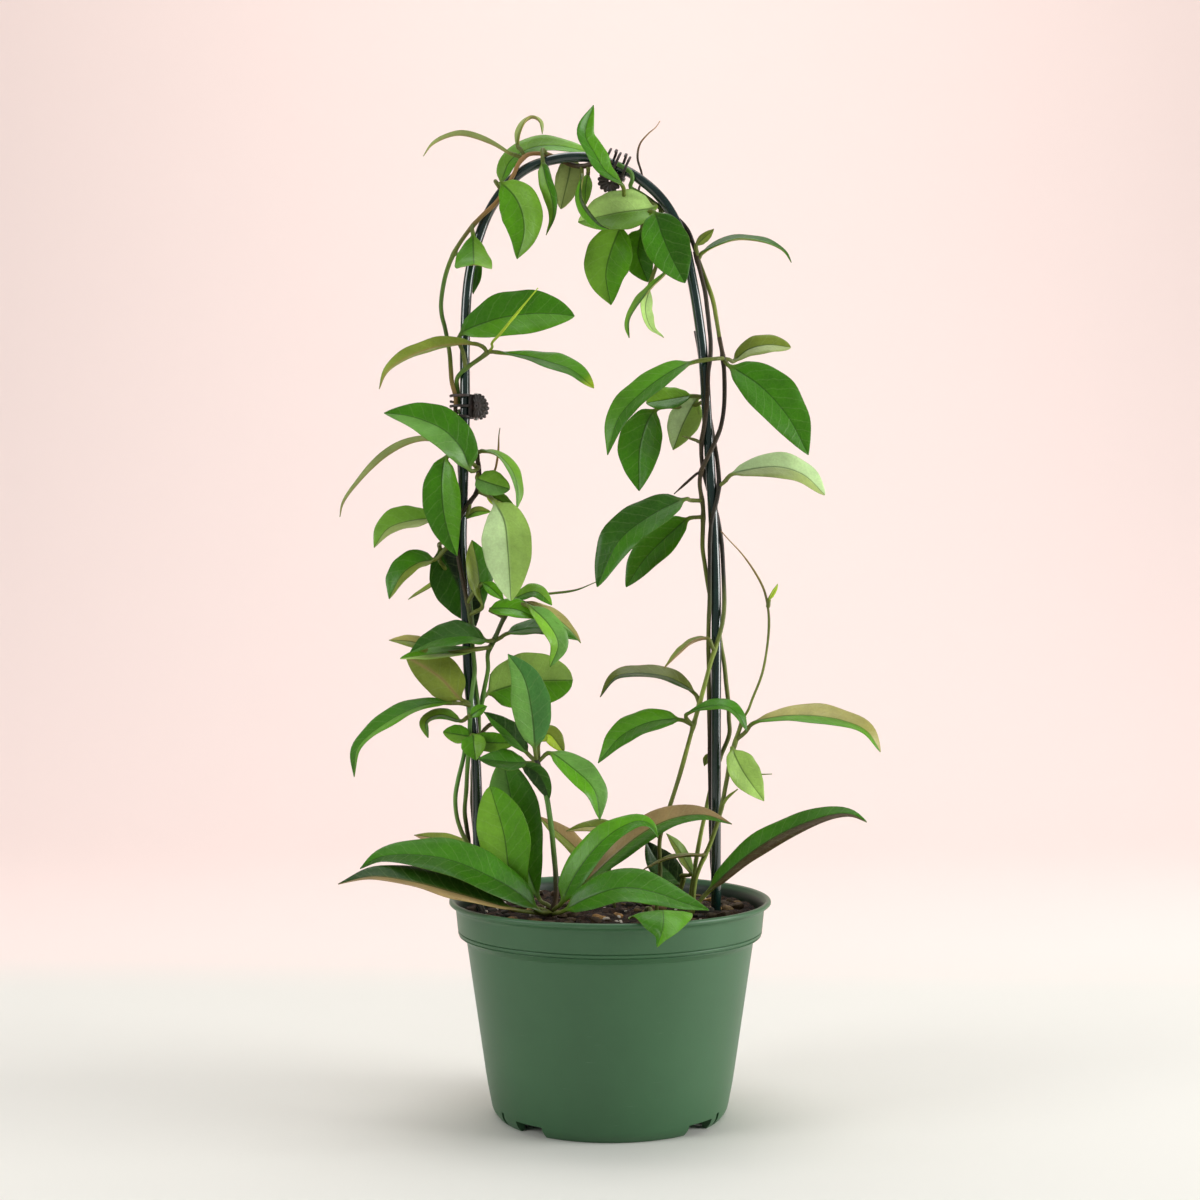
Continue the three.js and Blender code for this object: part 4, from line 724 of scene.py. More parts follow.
             "light mid"),
            ((24, 453), [(18.5, 413, 5), (16.5, 402, 5), (19.5, 393, 5), (26, 388.3, 5)], 11, -52,
             "fresh fresh fresh"),
            ((13, 462), [(5, 464.5, -11), (-3.5, 471.5, -13), (-8.7, 480, -14.5), (-13.6, 490, -15),
             (-9.2, 504.5, -14)], 14, 34, "bright mid olive"),
        ],
        twigs=[((15, 461), [(15, 469, 6), (12.8, 478, 4), (14, 485, 4), (18, 490, 4), (22, 493.5, 4),
                            (24, 496.5, 4)], 0.55, "bark bark tan")],
    ),
    "vine_right_back": dict(
        stem=[
            planted(52, 9),
            twine(R=[
                (112, 88, 8.5), (124, 75, 6), (140, 60, 4.4), (170, 45), (200, 35), (225, 20), (240, 0),
                (255, -30), (270, -40), (285, -52), (294, -68), (300, -90), (314, -160), (325, -190),
                (340, -230), (355, -258), (375, -285), (392, -300),
            ]),
        ],
        tones="bark night night bark moss night night bark night",
        leaves=[
            # The whitish tone on this leaf's second half is a painted highlight
            ((52, 314), [(59, 319.3, -4), (70, 322.3, -5), (84, 323.3, -6), (96, 319.3, -7),
             (106.5, 309.5, -7)], 18, -28, "sage wax", dict(peak=1.05, blunt=0.7)),
            ((46, 358), [(40, 359, 8), (30, 357.5, 8), (17, 355.5, 8)],
             15, 22, "light mid", dict(peak=1.15, blunt=0.65)),
            ((46, 357), [(22, 352, 5), (14.5, 336, 4), (13.5, 311.5, 3)], 23, 10, "mid mid"),
            # This leaf lies in shade behind the others; its whitish first half is painted light that lightens
            # it
            ((46, 360), [(43, 358, 13), (36.5, 347, 13), (30.5, 332, 12)], 17, 5, "wax pale"),
        ],
    ),
    "cutting_centre": dict(
        stem=[
            planted(-29, -22),
            seen([(-28, 108, -22), (-29.5, 135, -21), (-31, 148, -20), (-33, 160, -19), (-38, 177, -18)]),
        ],
        tones="umber umber umber green dusk night",
        thick=1.2,
        leaves=[
            ((-38, 177), [(-38.5, 182, -20), (-40, 200, -22), (-44, 218, -22), (-52, 230, -21)], 20, 8,
             "blue dusk"),
            ((-38, 177), [(-42, 180, -15), (-52, 191, -14), (-64, 201, -14)], 15, 46, "dark mid"),
            ((-37, 176), [(-36.5, 186, -13), (-32, 190, -13), (-24, 181, -13)],
             10, -20, "young olive", dict(blunt=0.7)),
            ((-38, 177), [(-32, 180.5, -17), (-20, 173, -19), (-9, 162, -21), (-6, 147, -22)], 18, -36,
             "bright dusk"),
            ((-38, 177), [(-42, 175.5, -20), (-52, 175.8, -22), (-60, 176.8, -23), (-67, 177.5, -23)],
             17, 46, "mid deep"),
            ((-38, 175), [(-45, 174.5, -21), (-38, 171, -21), (-34, 165, -21), (-31.5, 157.5, -20)],
             10, 24, "dark deep", dict(blunt=0.7)),
            ((-29, 104), [(-36, 101, -32), (-45, 109, -36), (-58, 117, -40), (-85, 127.8, -46),
             (-115, 128.6, -52), (-126, 122.7, -55)], 25, 40, "mid deep olive"),
            ((-29, 103), [(-48, 102, -42), (-75, 109.5, -50), (-100, 116, -58), (-120, 118.7, -62),
             (-137, 115, -64)], 23, 58, "dark rosy rosy", dict(fold=20)),
            ((-29, 104), [(-40, 104, -26), (-50.5, 120, -28), (-54, 140, -28), (-61, 164, -26)],
             26, -4, "bright light", dict(peak=1.35, blunt=0.65)),
            ((-28.5, 106), [(-36, 107, -12), (-46, 135, -14), (-50.5, 158, -14), (-54.5, 177.5, -14)],
             27, 2, "mid dusk", dict(peak=1.35, blunt=0.65)),
            ((-28, 105), [(-25.5, 105, -32), (-18.5, 119, -35), (-9, 132, -36), (3, 142.3, -36),
             (14, 146.5, -35), (19.5, 144.5, -34), (23, 138, -34)], 18, -38, "mid bright moss",
             dict(peak=0.7)),
            ((-28, 105), [(-15, 114, -16), (0, 128, -18), (15, 140, -20), (30, 147.5, -20), (46, 149.5, -20),
             (60, 145, -20)], 20, -46, "mid rosy rosy"),
            ((-29, 103), [(-24, 101.5, -42), (-13, 107.5, -48), (5, 113, -53), (22, 110.5, -55),
             (36, 105.5, -58), (48.5, 102, -60)], 22, -38, "mid mid"),
        ],
    ),
    "leaf_behind_left": dict(
        stem=[planted(-48, 22), seen([(-54, 116, 20), (-58, 121, 20)])],
        tones="umber moss",
        leaves=[((-56, 119), [(-60, 122.5, 20), (-78, 133.5, 52), (-90, 138, 72), (-99, 139.5, 86)],
             12, 25, "olive rosy rosy")],
    ),
    "cutting_behind": dict(
        stem=[planted(2, 16), seen([(0, 112, 16), (-3, 118, 16)])],
        tones="umber moss",
        leaves=[
            ((-1, 115), [(-7, 121, 20), (-20, 134.5, 22), (-37, 149, 23)], 16, 50, "rosy olive rosy"),
            ((-3, 118), [(-1, 124, 8), (2, 136, 7), (-3, 142.5, 6), (-12, 143.5, 5.5), (-23, 141.5, 5)],
             11, 40, "olive straw straw"),
            ((-3, 118), [(-4, 126, 13), (-6, 134, 13), (-9, 141, 13)], 11, 10, "olive olive"),
        ],
    ),
    "leaf_over_rim": dict(
        stem=[planted(17, -38), seen([(17.4, 102.5, -38.6), (19, 102.3, -43)])],
        tones="bark moss",
        leaves=[((19, 108), [(20, 100, -48), (22.5, 100.6, -62), (25.5, 101, -76), (25.2, 92, -85.5),
             (22.5, 83.5, -88)], 30, 0, "mid bright", dict(fold=-6, facing=SKY))],
    ),
    "cutting_right": dict(
        stem=[planted(32, 15.5), seen([(34, 112, 14), (36, 118, 12)])],
        tones="bark moss",
        leaves=[
            ((34, 112), [(34.5, 114, 18), (30, 119.5, 20), (22.5, 127, 21), (17, 136.5, 21)], 16, 15,
             "black dark"),
            ((36, 118), [(39.5, 120, 4), (36.3, 127, 3), (32, 134, 1), (27.3, 140.3, 0)], 9, 40,
             "pale olive"),
        ],
    ),
    "leaf_right": dict(
        stem=[planted(36, -22), seen([(40, 102, -21), (43, 106, -20)])],
        tones="bark moss",
        leaves=[((43, 106), [(47, 110, -20), (58, 121, -20), (70, 131, -21), (84, 139.8, -24), (98, 146, -27),
             (112, 150, -29), (120, 149.8, -30), (127.5, 146, -31)], 18, -50, "umber mid", dict(blunt=0.7))],
    ),
}
LEFT_VINES = ("vine_left_low", "vine_left_middle", "vine_left_tall", "vine_left_high", "vine_arch_left")
RIGHT_VINES = ("vine_right_low", "vine_right_side", "vine_right_middle", "vine_arch_right", "vine_right_back")
CUTTINGS = ("cutting_centre", "leaf_behind_left", "cutting_behind", "leaf_over_rim", "cutting_right",
            "leaf_right")


def grow(name, settings):
    """Makes one leafy stem: its stem, its twigs and its leaves in one mesh that stands for its CAD node."""
    plant = PLANTS[name]
    random = np.random.default_rng(sum(map(ord, name)))
    skin = Skin()
    points = np.vstack(plant["stem"])
    radius = settings.stem_radius / MM * plant.get("thick", 1)
    lines = [spaced(points, np.linspace(0, 1, 241))[0]]
    twigs = []
    for root, route, thick, words in plant.get("twigs", ()):
        route = seen(route)
        whole = np.vstack([petiole_from(root, route[0], lines), route])
        twigs.append((whole, thick, words))
    lines += [spaced(whole, np.linspace(0, 1, 81))[0] for whole, _, _ in twigs]
    leaves = [(petiole_from(root, seen(blade[:1])[0], lines), seen(blade), width, roll, words, dict(*form))
              for root, blade, width, roll, words, *form in plant.get("leaves", ())]
    joints = [petiole[0] for petiole, *_ in leaves] + [whole[0] for whole, *_ in twigs]
    strand(skin, random, points, radius, plant["tones"], joints)
    for whole, thick, words in twigs:
        strand(skin, random, whole, thick, words, sides=8, step=1.0, taper=True)
    for form in leaves:
        leaf(skin, random, settings, *form)
    finishes = ("green_stem_bark", "waxy_leaf_upper_face", "waxy_leaf_underside")
    mesh = skin.mesh("leafy_" + name, [bpy.data.materials[finish] for finish in finishes])
    link_piece("leafy_" + name, mesh, [name])


# Materials

class Finish:
    """A material made of nodes, made anew where its name was used before. Each method but the last adds a
    node and returns its output."""

    def __init__(self, name):
        old = bpy.data.materials.get(name)
        if old:
            bpy.data.materials.remove(old)
        self.material = bpy.data.materials.new(name)
        self.material.use_nodes = True
        self.material.node_tree.nodes.clear()

    def add(self, kind, inputs, out=0, **settings):
        """A node of a kind with its settings, its inputs set or linked."""
        tree = self.material.node_tree
        node = tree.nodes.new("ShaderNode" + kind)
        for key, value in settings.items():
            setattr(node, key, value)
        for key, value in inputs.items():
            if isinstance(value, bpy.types.NodeSocket):
                tree.links.new(value, node.inputs[key])
            else:
                node.inputs[key].default_value = value
        return node.outputs[out] if node.outputs else None

    def where(self):
        """The place in the piece's own space, in metres."""
        return self.add("TexCoord", {}, "Object")

    def attribute(self, label, out="Vector"):
        """What the mesh stores under a label."""
        return self.add("Attribute", {}, out, attribute_name=label)

    def part(self, vector, axis):
        """A vector's X, Y or Z."""
        return self.add("SeparateXYZ", {0: vector}, axis)

    def math(self, operation, *values):
        """One operation on up to three values; MULTIPLY_ADD is first times second plus third."""
        return self.add("Math", dict(enumerate(values)), operation=operation)

    def ramp(self, value, low, high, to_low, to_high, smooth=False):
        """A value that goes from to_low to to_high while the given one goes from low to high."""
        return self.add("MapRange", dict(enumerate((value, low, high, to_low, to_high))),
                        interpolation_type="SMOOTHSTEP" if smooth else "LINEAR")

    def noise(self, place, scale, detail, roughness=0.5):
        """Cloudy noise about 0.5, its largest clouds 1 / scale wide."""
        return self.add("TexNoise",
                        {"Vector": place, "Scale": scale, "Detail": detail, "Roughness": roughness})

    def cells(self, place, scale, out="Distance"):
        """Cells 1 / scale wide: the distance from each cell's middle, or its random colour."""
        return self.add("TexVoronoi", {"Vector": place, "Scale": scale}, out)

    def stretched(self, place, scale):
        """A place with each of its numbers scaled."""
        return self.add("Mapping", {"Vector": place, "Scale": scale})

    def shaded(self, colour, share):
        """A colour times a value."""
        return self.add("VectorMath", {0: colour, "Scale": share}, operation="SCALE")

    def mix(self, share, first, second):
        """From the first colour at share 0 to the second at 1."""
        return self.add("Mix", {0: share, 6: first, 7: second}, 2, data_type="RGBA")

    def bump(self, strength, distance, height):
        """A normal that shows a height of so many metres."""
        return self.add("Bump", {"Strength": strength, "Distance": distance, "Height": height})

    def end(self, colour, roughness, **more):
        """The material, ended with one Principled shader. An input's name has _ for each space."""
        inputs = {key.replace("_", " "): value for key, value in more.items()}
        surface = self.add("BsdfPrincipled", {"Base Color": colour, "Roughness": roughness, **inputs})
        self.add("OutputMaterial", {"Surface": surface})
        return self.material


def leaf_material(name, roughness, coat, vein_depth, rib_colour, rib_strength, light_veins):
    """A hoya leaf's thick waxy skin: a tint for each leaf, a rib line, slanting side veins 6 mm apart, a net
    of fine veins 2.5 mm across and slow mottling. Wax gives it a soft gloss with broad pale highlights."""
    m = Finish(name)
    place, share = m.attribute("leaf_place"), m.attribute("leaf_share")
    where = m.where()
    grown = m.part(share, "Z")
    off_rib = m.math("ABSOLUTE", m.part(place, "X"))
    slant = m.math("MULTIPLY_ADD", off_rib, -0.85, m.part(place, "Y"))
    bent = m.math("MULTIPLY_ADD", m.noise(place, 0.12, 2.0), 5.0, slant)
    side_vein = m.ramp(m.math("PINGPONG", bent, 3.1), 0.0, 0.55, 1.0, 0.0, smooth=True)
    side_vein = m.math("MULTIPLY", side_vein, grown)
    net = m.add("TexVoronoi", {"Vector": place, "Scale": 0.4, "Randomness": 0.9}, feature="DISTANCE_TO_EDGE")
    net = m.ramp(net, 0.0, 0.16, 1.0, 0.0, smooth=True)
    taper = m.ramp(m.part(share, "Y"), 0.0, 1.0, 0.62, 0.22)
    rib = m.ramp(m.math("DIVIDE", off_rib, taper), 0.45, 1.15, 1.0, 0.0, smooth=True)
    patches = m.ramp(m.noise(where, 95.0, 3.0, 0.55), 0.3, 0.7, 0.86, 1.14)
    flecks = m.ramp(m.noise(where, 900.0, 2.0), 0.35, 0.65, 0.95, 1.05)
    colour = m.shaded(m.attribute("tint", "Color"), m.math("MULTIPLY", patches, flecks))
    colour = m.mix(m.math("MULTIPLY", side_vein, light_veins), colour, linear("#b7cf86"))
    colour = m.mix(m.math("MULTIPLY", net, light_veins * 0.4), colour, linear("#a5c070"))
    ribbed = m.math("MULTIPLY", m.math("MULTIPLY", rib, rib_strength), grown)
    colour = m.mix(ribbed, colour, linear(rib_colour))
    uneven = m.ramp(patches, 0.86, 1.14, roughness * 1.2, roughness * 0.85)
    height = m.math("MULTIPLY_ADD", side_vein, -0.5, flecks)
    height = m.math("MULTIPLY_ADD", net, -0.25, height)
    return m.end(colour, uneven, IOR=1.45, Specular_IOR_Level=0.24, Coat_Weight=coat, Coat_Roughness=0.22,
                 Normal=m.bump(0.35, vein_depth, height))


def stem_material():
    """Living green bark, smooth when young and corky with age: a tint along the stem, lengthwise streaks
    about 0.5 mm wide and small pale warts give it a dull, slightly rough look."""
    m = Finish("green_stem_bark")
    streak = m.noise(m.stretched(m.attribute("leaf_place"), (2.0, 0.22, 1.0)), 1.0, 4.0)
    wart = m.ramp(m.cells(m.where(), 900.0), 0.05, 0.22, 1.0, 0.0)
    colour = m.shaded(m.attribute("tint", "Color"), m.ramp(streak, 0.3, 0.7, 0.72, 1.25))
    colour = m.mix(m.math("MULTIPLY", wart, 0.35), colour, linear("#a69a6e"))
    height = m.math("MULTIPLY_ADD", wart, 0.5, streak)
    return m.end(colour, 0.52, IOR=1.45, Normal=m.bump(0.5, 0.0003, height))


def pot_material(colour):
    """Injection moulded polypropylene, dyed in the mass: an even satin green, with a faint moulding grain, a
    few pale scuffs, and inside, above the soil, a nearly black green, partly from peat that has stained it
    and partly painted shade where the plant keeps the light off the inner wall. It lies nearer the axis than
    a limit that follows the middle of the wall: 0.103 z + 0.0657, in metres."""
    m = Finish("moulded_polypropylene")
    where = m.where()
    cloud = m.ramp(m.noise(where, 22.0, 5.0, 0.6), 0.3, 0.7, 0.93, 1.07)
    grain = m.noise(where, 1400.0, 2.0)
    scuff = m.noise(m.stretched(where, (60.0, 60.0, 900.0)), 1.0, 6.0, 0.7)
    scuff = m.ramp(scuff, 0.66, 0.8, 0.0, 0.35)
    base = m.mix(scuff, m.shaded(colour[:3], cloud), linear("#8fa890"))
    flat = m.add("VectorMath", {0: where, 1: (1.0, 1.0, 0.0)}, operation="MULTIPLY")
    reach = m.add("VectorMath", {0: flat}, "Value", operation="LENGTH")
    height = m.part(where, "Z")
    # Painted shade and peat dirt: inside the wall, above z 0.09 m, the colour is pulled 82 percent towards a
    # nearly black green
    depth = m.math("SUBTRACT", m.math("MULTIPLY_ADD", height, 0.103, 0.0657), reach)
    inside = m.ramp(depth, -0.0003, 0.0003, 0.0, 1.0)
    peat_stain_and_shade = m.math("MULTIPLY", inside, m.ramp(height, 0.0895, 0.0915, 0.0, 1.0))
    base = m.mix(m.math("MULTIPLY", peat_stain_and_shade, 0.82), base, linear("#0f1a10"))
    rough = m.math("MULTIPLY_ADD", scuff, 0.5, 0.42)
    return m.end(base, rough, IOR=1.49, Normal=m.bump(0.12, 0.0002, grain))


def soil_material(colour):
    """Moist peat with composted bark: nearly black crumbs of 1 to 4 mm with brown fibres between them."""
    m = Finish("moist_peat_mix")
    where = m.where()
    grey = m.add("SeparateColor", {0: m.cells(where, 480.0, "Color")})
    fine = m.noise(where, 1300.0, 5.0, 0.7)
    lit = m.ramp(m.math("MULTIPLY", grey, fine), 0.1, 0.62, 0.0, 1.0)
    height = m.math("MULTIPLY_ADD", m.cells(where, 480.0), -1.0, fine)
    return m.end(m.mix(lit, colour, linear("#4a331f")), 0.9, IOR=1.4, Normal=m.bump(0.9, 0.0012, height))


def chip_material():
    """Pine bark chips, torn along the grain: brown flakes with darker lines 0.8 mm apart."""
    m = Finish("pine_bark_chips")
    grain = m.noise(m.stretched(m.where(), (1200.0, 300.0, 1200.0)), 1.0, 4.0)
    base = m.shaded(m.attribute("tint", "Color"), m.ramp(grain, 0.3, 0.7, 0.55, 1.35))
    return m.end(base, 0.8, Normal=m.bump(0.7, 0.0005, grain))


def perlite_material():
    """Expanded perlite: white popped glass with pits of 0.4 mm, dull and a little dirty from the peat."""
    m = Finish("expanded_perlite")
    where = m.where()
    dirt = m.ramp(m.noise(where, 300.0, 3.0), 0.45, 0.7, 0.0, 0.6)
    base = m.mix(dirt, linear("#ddd6c8"), linear("#8a7557"))
    return m.end(base, 0.85, Normal=m.bump(0.8, 0.0004, m.cells(where, 1800.0)))


def wire_material(colour):
    """Steel wire in an extruded PVC coat: very dark green, glossy, with a faint orange-peel from the die."""
    m = Finish("pvc_coated_wire")
    where = m.where()
    cloud = m.ramp(m.noise(where, 60.0, 4.0), 0.3, 0.7, 0.7, 1.3)
    return m.end(m.shaded(colour[:3], cloud), m.ramp(cloud, 0.7, 1.3, 0.1, 0.2), IOR=1.53, Coat_Weight=0.6,
                 Coat_Roughness=0.06, Normal=m.bump(0.08, 0.0002, m.noise(where, 600.0, 2.0)))


def clip_material(colour):
    """Moulded polypropylene, coloured brown-black: a soft sheen, with worn grey patches here and there."""
    m = Finish("moulded_brown_plastic")
    where = m.where()
    wear = m.ramp(m.noise(where, 260.0, 4.0), 0.5, 0.75, 0.0, 0.5)
    base = m.mix(wear, colour, linear("#6b5550"))
    return m.end(base, m.ramp(wear, 0.0, 0.5, 0.42, 0.6), IOR=1.49,
                 Normal=m.bump(0.25, 0.0002, m.noise(where, 1100.0, 3.0)))


def spring_material():
    """Drawn spring steel, a little oiled: grey metal with fine lines along the wire."""
    m = Finish("drawn_spring_steel")
    lines = m.noise(m.where(), 3000.0, 2.0)
    base = m.mix(lines, linear("#8d8b86"), linear("#b7b4ad"))
    return m.end(base, m.ramp(lines, 0.3, 0.7, 0.24, 0.4), Metallic=1.0)


def stage_material(floor, wall):
    """Matt painted paper: a neutral tone on the floor, which turns pinker up the wall behind it."""
    m = Finish("matt_paper")
    share = m.ramp(m.part(m.where(), "Y"), 0.28, 0.5, 0.0, 1.0, smooth=True)
    return m.end(m.mix(share, floor, wall), 0.9, Specular_IOR_Level=0.2)


# Pot, soil, hoop and clips

def rounded(profile, radii, parts=5):
    """A profile with its corners rounded: each corner becomes a quadratic curve between the two points that
    lie the corner's radius away from it, or just under half of the shorter side."""
    p = np.array(profile, float)
    out = [p[:1]]
    for a, b, c, r in zip(p, p[1:], p[2:], radii):
        cut = min(r, 0.48 * np.linalg.norm(a - b), 0.48 * np.linalg.norm(c - b))
        if cut < 0.02:
            out.append(b[None])
            continue
        first, last = b + unit(a - b) * cut, b + unit(c - b) * cut
        t = np.linspace(0, 1, parts + 1)[:, None]
        out.append(first * (1 - t) ** 2 + 2 * b * t * (1 - t) + last * t ** 2)
    out.append(p[-1:])
    return np.vstack(out)


def turned(profile, sides):
    """A profile turned about the z axis: x = r cos a, y = r sin a, as stations by ring points. The profile
    runs so that the surface's outside is on its right."""
    a = np.linspace(0, 2 * np.pi, sides, endpoint=False)
    r, z = profile[:, :1], profile[:, 1:]
    return np.stack([r * np.cos(a), r * np.sin(a), z + 0 * a], axis=-1)


def merge_doubles(mesh):
    """Joins the points of each pole and turns every face outwards."""
    made = bmesh.new()
    made.from_mesh(mesh)
    bmesh.ops.remove_doubles(made, verts=made.verts, dist=1e-7)
    bmesh.ops.recalc_face_normals(made, faces=made.faces)
    made.to_mesh(mesh)
    made.free()


def turn_about(grid, axis, degrees):
    """A grid turned about one axis."""
    c, s = math.cos(math.radians(degrees)), math.sin(math.radians(degrees))
    rows = {"x": [[1, 0, 0], [0, c, -s], [0, s, c]], "z": [[c, -s, 0], [s, c, 0], [0, 0, 1]]}[axis]
    return grid @ np.array(rows).T


def box_grid(size, centre):
    """A box as a tube of two square rings."""
    x, y, z = (v / 2 for v in size)
    ring = np.array([[x, y], [-x, y], [-x, -y], [x, -y]])
    return np.array([[[*q, low] for q in ring] for low in (-z, z)]) + np.array(centre)


def make_piece(name, grids, material, nodes=(), body="root", merged=False, capped=True, sharp=None):
    """One piece with one finish, made of closed surfaces."""
    skin = Skin()
    for grid in grids:
        skin.add(grid, 0, capped=capped)
    mesh = skin.mesh(name, [material], sharp=sharp)
    if merged:
        merge_doubles(mesh)
    link_piece(name, mesh, nodes, body)


def make_pot(settings):
    """The nursery pot: its profile turned about the axis, with notches and slits in the foot ring and drain
    holes in the floor cut from it."""
    rim, high, wall = settings.rim_radius / MM, settings.height / MM, settings.wall / MM
    foot = [(0, 6), (49.5, 6), (52, 4.5), (53.5, 0), (55.5, 0), (58.5, 3.4)]
    side = [(61.4, 18), (71.5, 86.9), (75.4, 89.9)]
    grooves = [(74.9, 90.3), (75.7, 90.8), (75.8, 91.9), (75.25, 92.2), (75.85, 92.5)]
    lip = [(77, high - 3.9), (rim, high - 2.2), (rim, high - 0.7), (rim - 1, high), (77.7, high - 0.5)]
    inside = [(77, high - 3.9), (75.8, 91.4), (71.5, 87.1), (61.4, 18), (58.5, 9.2)]
    floor = [(55.1, 7.4), (0, 7.4)]
    profile = foot + side + grooves + lip + [(r - wall, z) for r, z in inside] + floor
    radii = [1, 1, 0.5, 0.5, 3, 6, 1, 0.2, 0.15, 0.3, 0.3, 0.15, 0.3, 1.5, 0.8, 0.7, 0.6, 0.6, 2, 1, 1, 6,
             1.5,
             1]
    skin = Skin()
    skin.add(turned(rounded(profile, radii), 216), 0, capped=False)
    mesh = skin.mesh("nursery_pot", [pot_material(settings.colour)])
    merge_doubles(mesh)
    pot = shown("nursery_pot", mesh)

    cuts = Skin()
    for quarter, slit_degrees in enumerate((-28, 28, 152, 208)):
        notch, slit = (17, -1, 5.5, 48 + 90 * quarter), (2.5, 1, 7, slit_degrees)
        for width, low, top, degrees in (notch, slit):
            block = box_grid((14, width, top - low), (FOOT_RING, 0, (low + top) / 2))
            cuts.add(turn_about(block, "z", degrees), 0)
        turn = math.radians(90 * quarter)
        hole = [[DRAIN_HOLES * math.cos(turn), DRAIN_HOLES * math.sin(turn), z] for z in (2.0, 12.0)]
        cuts.add(tube(np.array(hole), 5.0, 40), 0)
    cutter = shown("pot_cuts", cuts.mesh("pot_cuts", []))
    merge_doubles(cutter.data)
    cut = pot.modifiers.new("Cuts", "BOOLEAN")
    cut.operation, cut.solver, cut.object = "DIFFERENCE", "EXACT", cutter
    bpy.context.view_layer.update()
    made = bpy.data.meshes.new_from_object(pot.evaluated_get(bpy.context.evaluated_depsgraph_get()))
    bpy.data.objects.remove(cutter)
    bpy.data.objects.remove(pot)
    made.name = "nursery_pot"
    made.set_sharp_from_angle(angle=math.radians(35))
    link_piece("nursery_pot", made, ["pot"])


def ground(random, x, y):
    """The soil's height in mm over x, y: a mean of sines 6 to 30 mm long, sharpened into small clods."""
    lengths = 5 + 26 * random.random(14)
    turns = 2 * np.pi * random.random((2, 14))
    across = x[..., None] * np.cos(turns[0]) + y[..., None] * np.sin(turns[0])
    waves = np.sin(2 * np.pi * across / lengths + turns[1]) * np.sqrt(lengths) / 5.5
    return SOIL_LEVEL - 0.4 + 1.1 * np.tanh(waves.sum(axis=-1) * 0.55)


def scattered(skin, shape, count, random, size, tones, material, flat=1.0, inner=3.0, outer=69.0):
    """Copies of one small shape over the soil, each with its own size, turn, tilt and tone."""
    away = np.sqrt(inner ** 2 + (outer ** 2 - inner ** 2) * random.random(count))
    turn = 2 * np.pi * random.random(count)
    x, y = away * np.cos(turn), away * np.sin(turn)
    spin, tilt = 2 * np.pi * random.random(count), 0.7 * (random.random(count) - 0.5)
    scale = size[0] + (size[1] - size[0]) * random.random((count, 1)) ** 1.6
    scale = scale * np.stack([np.ones(count), 0.5 + 0.35 * random.random(count),
                              flat * (0.28 + 0.2 * random.random(count))], axis=1)
    z = ground(np.random.default_rng(SOIL_SEED), x, y) + 0.15 * scale[:, 2]
    for i in range(count):
        body = shape * scale[i] * (1 + 0.16 * np.sin(shape[..., [1, 2, 0]] * 4 + 9 * random.random(3)))
        c, s = math.cos(spin[i]), math.sin(spin[i])
        k, q = math.cos(tilt[i]), math.sin(tilt[i])
        rotate = np.array([[c, -s, 0], [s, c, 0], [0, 0, 1]]) @ np.array([[k, 0, q], [0, 1, 0], [-q, 0, k]])
        skin.add(body @ rotate.T + [x[i], y[i], z[i]], material, tones[i % len(tones)])


def blunted(values):
    """Sines or cosines pressed towards -1 and 1, which makes a ball a lump with blunt corners."""
    return np.sign(values) * np.abs(values) ** 0.6


def make_soil(settings):
    """The soil's body up to its cloddy top, with bark chips and perlite lying in it."""
    random = np.random.default_rng(SOIL_SEED)
    top = np.linspace(0, 1, 64) ** 0.9 * 73.6
    sides = np.array([(74.3, 100), (73.9, 92.6), (71.6, 90), (69.4, 86), (59.75, 18.2), (56.85, 10),
                      (53.9, 7.75), (0, 7.75)])
    rings = np.concatenate([top, sides[:, 0]])
    a = np.linspace(0, 2 * np.pi, 200, endpoint=False)
    x, y = rings[:, None] * np.cos(a), rings[:, None] * np.sin(a)
    clods = ground(np.random.default_rng(SOIL_SEED), x[:len(top)], y[:len(top)])
    z = np.vstack([clods, sides[:, 1:] + 0 * a])
    make_piece("potting_mix", [np.stack([x, y, z], axis=-1)], soil_material(settings.colour),
               ["soil"], merged=True, capped=False)

    t = np.linspace(0.02, np.pi - 0.02, 7)[:, None]
    a = np.linspace(0, 2 * np.pi, 9, endpoint=False)
    reach = blunted(np.sin(t))
    lump = np.stack([reach * blunted(np.cos(a)), -reach * blunted(np.sin(a)), blunted(np.cos(t)) + 0 * a],
                    axis=-1) / 2
    bark = Skin()
    tones = ("bark", "umber", "night", "umber", "bark", "tan", "night", "brown", "bark", "umber")
    scattered(bark, lump, settings.chips, random, (3.0, 9.0), tones, 0)
    link_piece("bark_chips", bark.mesh("bark_chips", [chip_material()], sharp=45))
    perlite = Skin()
    scattered(perlite, lump, settings.perlite, random, (1.3, 3.4), ("straw",), 0, flat=2.0)
    link_piece("perlite_bits", perlite.mesh("perlite_bits", [perlite_material()]))


def make_hoop(settings):
    """The hoop: one round wire along its curve."""
    length = spaced(HOOP, [0])[1]
    line, _ = spaced(HOOP, np.linspace(0, 1, int(length / 1.8)))
    make_piece("coated_hoop", [tube(line, settings.radius / MM, 24)], wire_material(settings.colour),
               ["hoop"], sharp=60)


def rounded_ring(width, height, corner, parts=3):
    """A rectangle with round corners, anticlockwise from its right side."""
    out = []
    for k, (sx, sy) in enumerate(((1, 1), (-1, 1), (-1, -1), (1, -1))):
        a = np.radians(90 * k) + np.linspace(0, np.pi / 2, parts + 1)
        out.append(np.stack([sx * (width / 2 - corner) + corner * np.cos(a),
                             sy * (height / 2 - corner) + corner * np.sin(a)], axis=1))
    return np.vstack(out)


